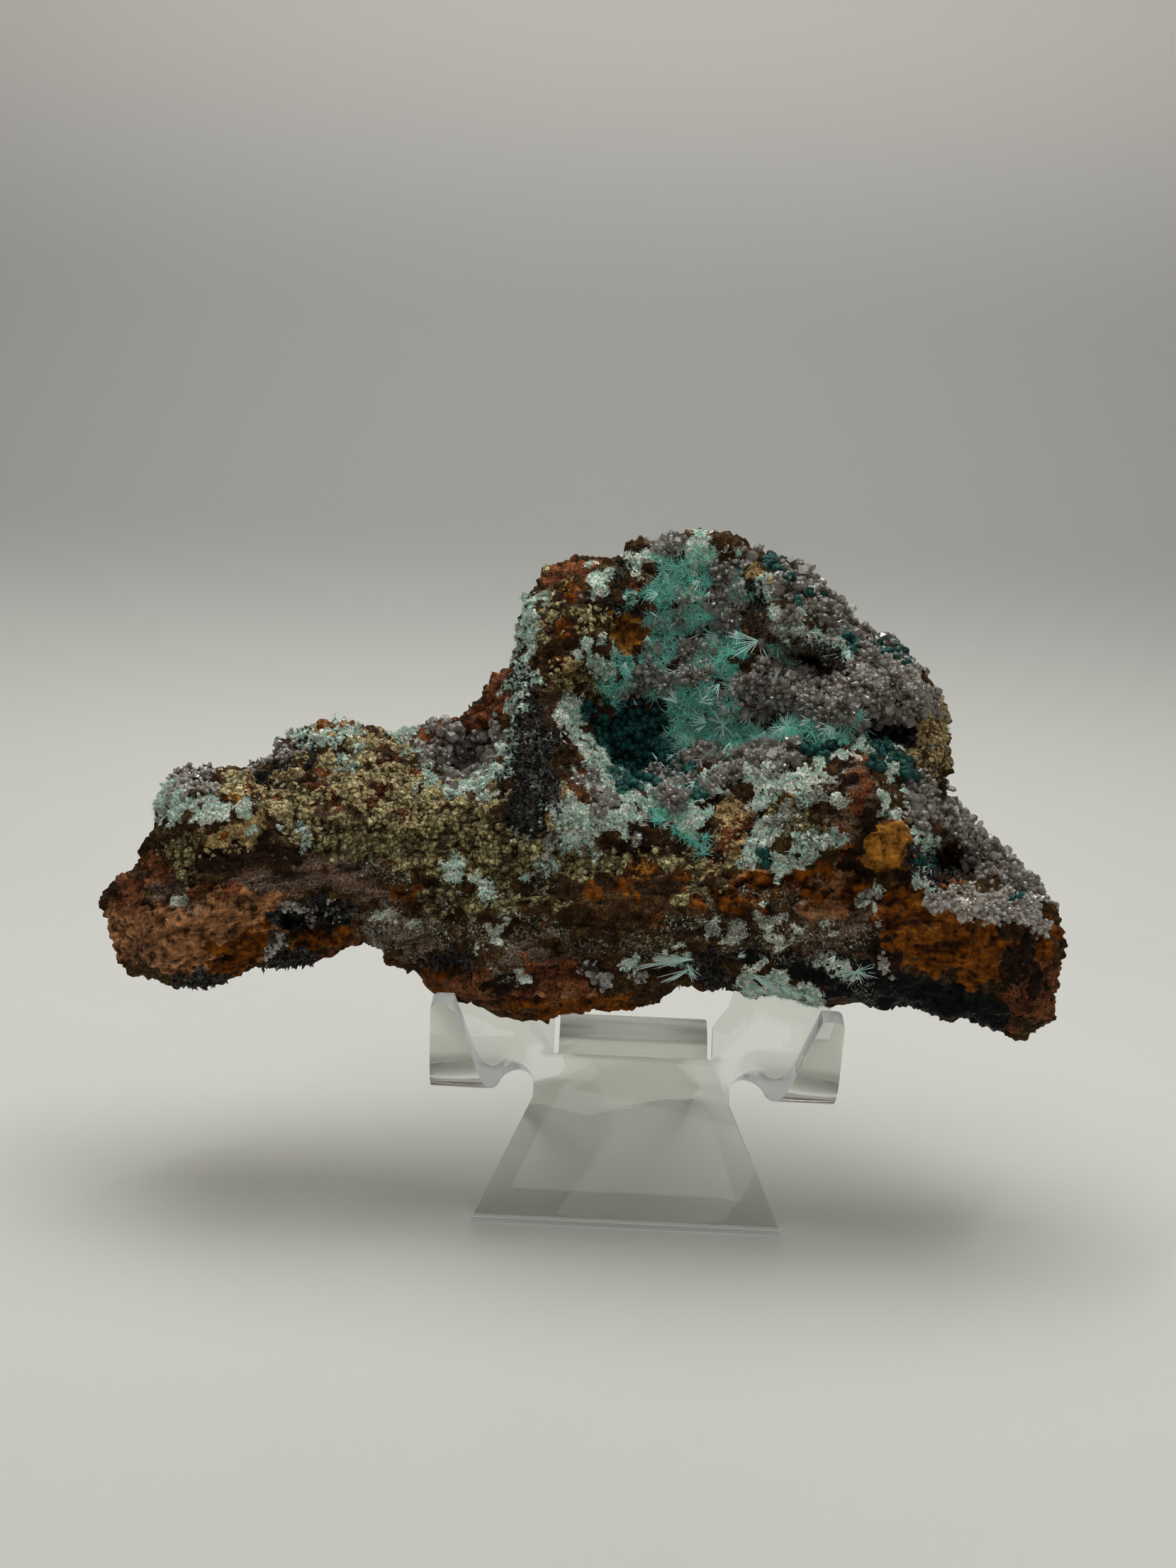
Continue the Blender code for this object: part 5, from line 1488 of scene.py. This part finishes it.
def make_stand():
    """The bent clear sheet, with its cut edges slightly eased, duller than its faces and faintly glowing as
    painted light.
    """
    stand = copy_node("clear_stand", "clear_acrylic_stand")
    bpy.ops.object.mode_set(mode="EDIT")
    bpy.ops.mesh.select_all(action="SELECT")
    bpy.ops.mesh.dissolve_limited(angle_limit=math.radians(0.5))
    bpy.ops.object.mode_set(mode="OBJECT")
    stand.data.materials.append(acrylic_material())
    stand.data.materials.append(glowing_edge_material())
    tree = surface_tree(stand.data)
    stand.data.calc_loop_triangles()
    largest = {}
    for triangle in stand.data.loop_triangles:
        best = largest.get(triangle.polygon_index)
        if best is None or triangle.area > best.area:
            largest[triangle.polygon_index] = triangle
    for face in stand.data.polygons:
        start = Vector(largest[face.index].center) - face.normal * 0.01 * MM
        _, _, _, through = tree.ray_cast(start, -face.normal)
        face.material_index = int(through is None or through > 1.4 * SHEET_THICKNESS * MM)
    ease = stand.modifiers.new("eased_edges", "BEVEL")
    ease.width = 0.25 * MM
    ease.segments = 2
    ease.limit_method = "ANGLE"
    ease.angle_limit = math.radians(50)
    ease.material = 1
    apply_modifiers(stand)
    bpy.ops.object.shade_smooth_by_angle(angle=math.radians(35))
    return stand


def finish_piece(piece, material, replaced=None):
    """Give a piece its finish and tie it to the frame."""
    if material is not None:
        piece.data.materials.clear()
        piece.data.materials.append(material)
    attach(piece, "root")
    if replaced:
        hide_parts(replaced)
    print(piece.name, sum(len(p.vertices) - 2 for p in piece.data.polygons), "triangles")
    return piece


def make_minerals(rock):
    """Grow all the small minerals on the rock."""
    ground = make_ground(rock)
    tree = surface_tree(ground)

    # The first colour given to each finish is its foot colour, darkened as painted shade under and between
    # the shapes
    grains = [pebble(f"grain_{i}", 0.20, 1, 0.6, 0.6, i + 1) for i in range(4)]
    cream = grow("cream_crust_grains", ground, grains, "grow_cream", 1.5, (0.3, 2.3), 0.5, 1)
    finish_piece(cream, tinted_material("cream_grain", (0.18, 0.135, 0.055), (0.62, 0.52, 0.27),
                                        (0.36, 0.27, 0.12), 0.9)[0])
    grains = [pebble(f"grain_{i}", 0.19, 1, 0.6, 0.6, i + 11) for i in range(4)]
    olive = grow("olive_crust_grains", ground, grains, "grow_tan", 1.6, (0.4, 1.9), 0.5, 2)
    finish_piece(olive, tinted_material("olive_grain", (0.11, 0.076, 0.030), (0.42, 0.320, 0.145),
                                        (0.24, 0.16, 0.07), 0.9)[0])
    grains = [pebble(f"grain_{i}", 0.19, 1, 0.6, 0.6, i + 21) for i in range(4)]
    brown = grow("rust_crust_grains", ground, grains, "grow_brown", 0.7, (0.35, 1.8), 0.5, 3)
    finish_piece(brown, tinted_material("rust_grain", (0.015, 0.006, 0.002), (0.12, 0.052, 0.018),
                                        (0.08, 0.055, 0.026), 0.85)[0])

    crystals = [
        prism("calcite_0", 0.42, 0.60, 0.22), prism("calcite_1", 0.32, 0.80, 0.20, 0.8),
        prism("calcite_2", 0.55, 0.34, 0.26), cube_crystal("calcite_3", 0.75, 4),
        tuft("calcite_4", prism("stem", 0.27, 0.75, 0.2), 4, 75, 3),
    ]
    calcite = grow("calcite_druse", ground, crystals, "grow_grey", 1.65, (0.30, 2.0), 0.9, 4)
    grey_calcite = crystal_material("grey_calcite", (0.52, 0.44, 0.37), (1.00, 1.00, 0.95), 0.72, 0.08)
    finish_piece(calcite, grey_calcite)
    for clusters in make_clusters(tree):
        finish_piece(clusters, grey_calcite)
    crystals = [prism("point_0", 0.2, 0.42, 0.16), cube_crystal("point_1", 0.42, 9)]
    points = grow("clear_calcite_points", ground, crystals, "grow_white", 2.9, (0.45, 1.6), 0.8, 5)
    finish_piece(points, crystal_material("white_calcite", (0.62, 0.58, 0.50), (0.96, 0.95, 0.89),
                                          0.40, 0.08))
    specks = [
        pebble("speck_0", 0.15, 1, 0.4, 0.4, 5), spike("speck_1", 0.1, 0.4, 4),
        tuft("speck_2", needle("stem", 0.04, 0.6), 5, 85, 9),
    ]
    speckles = grow("pale_speckles", ground, specks, "grow_speckle", 3.4, (0.35, 1.3), 0.6, 6)
    finish_piece(speckles, tinted_material("pale_speckle", (0.42, 0.44, 0.36), (1.00, 1.00, 0.90),
                                           (0.55, 0.66, 0.57), 0.6)[0])

    balls = [pebble(f"ball_{i}", 0.5, 2, 0.1, 0.95, i + 31) for i in range(2)]
    small_balls = grow("rosasite_balls", ground, balls, "grow_ball", 1.5, (0.6, 1.7), 0.2, 7)
    ball_finish = tinted_material("rosasite_ball", (0.001, 0.011, 0.010), (0.012, 0.11, 0.095),
                                  (0.002, 0.028, 0.024), 0.4)[0]
    finish_piece(small_balls, ball_finish)
    finish_piece(make_balls(tree), ball_finish)

    brushes = [tuft(f"brush_{i}", needle("stem", 0.055, 1.7, 3), 10, 78, i + 1) for i in range(3)]
    velvet = grow("emerald_velvet", ground, brushes, "grow_velvet", 2.2, (0.4, 1.5), 0.5, 8)
    finish_piece(velvet, tinted_material("emerald_fibre", (0.010, 0.24, 0.185), (1.00, 1.00, 1.00),
                                         (0.24, 1.00, 0.81), 0.4, patch=0.3)[0])
    brushes = [tuft(f"brush_{i}", needle("stem", 0.045, 0.48, 3), 8, 85, i + 5) for i in range(3)]
    fuzz = grow("pale_aqua_fuzz", ground, brushes, "grow_fuzz", 2.2, (0.7, 1.9), 0.7, 9)
    finish_piece(fuzz, tinted_material("aqua_fibre", (0.48, 0.52, 0.42), (1.00, 0.98, 0.88),
                                       (0.30, 0.72, 0.62), 0.55, patch=0.75,
                                       green=(0.58, 1.00, 0.84))[0])
    lace = [pebble("lace_0", 0.2, 1, 0.4, 0.7, 7), pebble("lace_1", 0.14, 1, 0.4, 0.8, 8)]
    lacy = grow("pale_aqua_lace", ground, lace, "grow_lace", 4.6, (0.6, 1.9), 0.7, 10)
    finish_piece(lacy, tinted_material("aqua_lace", (0.45, 0.50, 0.41), (1.00, 1.00, 0.88),
                                       (0.50, 0.78, 0.68), 0.7, patch=0.7,
                                       green=(0.58, 1.00, 0.84))[0])
    sprays = make_sprays(tree)
    finish_piece(sprays, tinted_material("spray_fibre", (0.55, 0.95, 0.86), (1.00, 1.00, 1.00),
                                         (0.72, 1.00, 0.93), 0.3, patch=0.2)[0])

    # The black druse grows over the whole black mask, so near-black crystals also fill the recesses painted
    # as shade
    druse = [spike("black_0", 0.2, 0.7, 4), cube_crystal("black_1", 0.3, 2)]
    black = grow("black_druse", ground, druse, "grow_black", 3.5, (0.5, 1.5), 0.8, 11)
    finish_piece(black, tinted_material("black_crystal", (0.002, 0.002, 0.002), (0.034, 0.031, 0.028),
                                        (0.010, 0.009, 0.008), 0.38)[0])
    hairs = [needle("hair_0", 0.06, 1.3), needle("hair_1", 0.05, 1.7)]
    ledge = grow("ledge_hairs", ground, hairs, "grow_hair", 6.0, (0.5, 1.3), 0.9, 12, droop=0.5)
    finish_piece(ledge, tinted_material("ledge_hair", (0.012, 0.008, 0.005), (0.40, 0.32, 0.22),
                                        (0.08, 0.055, 0.035), 0.7)[0])
    bpy.data.meshes.remove(ground)


def make_room():
    """A pale sweep: floor, curved back and wall, with painted shade and light along its curve."""
    bpy.ops.object.select_all(action="DESELECT")
    bpy.ops.mesh.primitive_plane_add(size=1.0, location=(0, 0, 0))
    floor = bpy.context.object
    floor.name = "pale_floor"
    bpy.ops.object.mode_set(mode="EDIT")
    bpy.ops.mesh.select_all(action="SELECT")
    bpy.ops.transform.resize(value=(3.0, 1.0, 1.0), center_override=(0, 0, 0))
    bpy.ops.transform.translate(value=(0, FLOOR_BACK - 0.5, 0))
    sheet = bmesh.from_edit_mesh(floor.data)
    for edge in sheet.edges:
        edge.select_set(all(v.co.y > FLOOR_BACK - 0.01 for v in edge.verts))
    bmesh.update_edit_mesh(floor.data)
    for step in range(SWEEP_STEPS):
        angle = math.radians(90) * (step + 0.5) / SWEEP_STEPS
        chord = SWEEP_RADIUS * math.radians(90) / SWEEP_STEPS
        move = (0, chord * math.cos(angle), chord * math.sin(angle))
        bpy.ops.mesh.extrude_region_move(TRANSFORM_OT_translate={"value": move})
    bpy.ops.mesh.extrude_region_move(TRANSFORM_OT_translate={"value": (0, 0, 0.9)})
    bpy.ops.object.mode_set(mode="OBJECT")
    bpy.ops.object.shade_smooth()
    material, nodes, link, shader = shader_nodes("pale_board_painted_shade")
    place = nodes.new("ShaderNodeTexCoord")
    paper = nodes.new("ShaderNodeTexNoise")
    paper.inputs["Scale"].default_value = 25.0
    paper.inputs["Detail"].default_value = 6.0
    link(place.outputs["Object"], paper.inputs["Vector"])
    tone = mix_colour(nodes, link, paper.outputs["Fac"], (0.78, 0.785, 0.745), (0.81, 0.815, 0.775))
    axes = nodes.new("ShaderNodeSeparateXYZ")
    link(place.outputs["Object"], axes.inputs[0])
    # Painted shade and light: the board darkens up the curve of the sweep and lightens again high on the
    # wall, as the overhead light falls on it
    rise = nodes.new("ShaderNodeMapRange")
    rise.interpolation_type = "SMOOTHSTEP"
    rise.inputs["From Min"].default_value = 0.002
    rise.inputs["From Max"].default_value = 0.075
    link(axes.outputs["Z"], rise.inputs["Value"])
    high = nodes.new("ShaderNodeMapRange")
    high.interpolation_type = "SMOOTHSTEP"
    high.inputs["From Min"].default_value = 0.13
    high.inputs["From Max"].default_value = 0.26
    link(axes.outputs["Z"], high.inputs["Value"])
    tone = mix_colour(nodes, link, rise.outputs[0], tone, (0.43, 0.43, 0.42))
    tone = mix_colour(nodes, link, high.outputs[0], tone, (0.72, 0.69, 0.665))
    link(tone, shader.inputs["Base Color"])
    shader.inputs["Roughness"].default_value = 0.6
    floor.data.materials.append(material)
    return floor


FLOOR_BACK = 0.15
SWEEP_RADIUS = 0.31
SWEEP_STEPS = 24


def area_light(name, place, aim, width, depth, power, colour=(1.0, 1.0, 1.0)):
    """A soft panel light that faces a point."""
    lamp = bpy.data.lights.new(name, "AREA")
    lamp.shape = "RECTANGLE"
    lamp.size = width
    lamp.size_y = depth
    lamp.energy = power
    lamp.color = colour
    obj = bpy.data.objects.new(name, lamp)
    bpy.context.scene.collection.objects.link(obj)
    heading = Vector(aim) - Vector(place)
    obj.matrix_world = Matrix.Translation(place) @ heading.to_track_quat("-Z", "Y").to_matrix().to_4x4()
    return obj


def make_lights():
    """A large overhead panel and its bright strips for glints, in a white room."""
    area_light("overhead_panel", (0.0, 0.085, 0.44), (0.0, 0.085, 0.0), 0.48, 0.46, 1.50, (1.0, 1.0, 0.97))
    area_light("strip_left", (-0.10, 0.06, 0.43), (0.0, 0.0, 0.05), 0.30, 0.006, 0.13)
    area_light("strip_right", (0.14, -0.06, 0.43), (0.0, 0.0, 0.05), 0.30, 0.006, 0.13)
    area_light("front_fill", (0.0, -0.42, 0.26), (0.0, 0.0, 0.05), 0.34, 0.20, 0.22, (1.0, 1.0, 0.98))
    world = bpy.data.worlds.new("soft_room")
    world.use_nodes = True
    world.node_tree.nodes["Background"].inputs["Color"].default_value = (1.0, 0.99, 0.97, 1.0)
    world.node_tree.nodes["Background"].inputs["Strength"].default_value = 0.12
    bpy.context.scene.world = world


def make_camera():
    """Camera at the photograph's place and tilt."""
    data = bpy.data.cameras.new("view")
    data.sensor_fit = "VERTICAL"
    data.sensor_height = SENSOR_HEIGHT
    data.lens = SENSOR_HEIGHT * VIEW_DISTANCE / PICTURE_HEIGHT
    data.clip_start = 0.01
    camera = bpy.data.objects.new("view", data)
    bpy.context.scene.collection.objects.link(camera)
    turn = VIEW.to_3x3()
    right = turn @ Vector((1, 0, 0))
    up = turn @ Vector((0, 0, 1))
    back = turn @ Vector((0, -1, 0))
    eye = VIEW @ (Vector((-0.05, -VIEW_DISTANCE, VIEW_CENTRE_W)) * MM)
    camera.matrix_world = Matrix.Translation(eye) @ Matrix((right, up, back)).transposed().to_4x4()
    bpy.context.scene.camera = camera


bpy.context.scene.view_settings.view_transform = "Standard"
make_camera()
make_lights()
make_room()
rock = make_rock()
finish_piece(rock, rock_material(), "mineral_specimen")
make_minerals(rock)
finish_piece(make_stand(), None, "clear_stand")
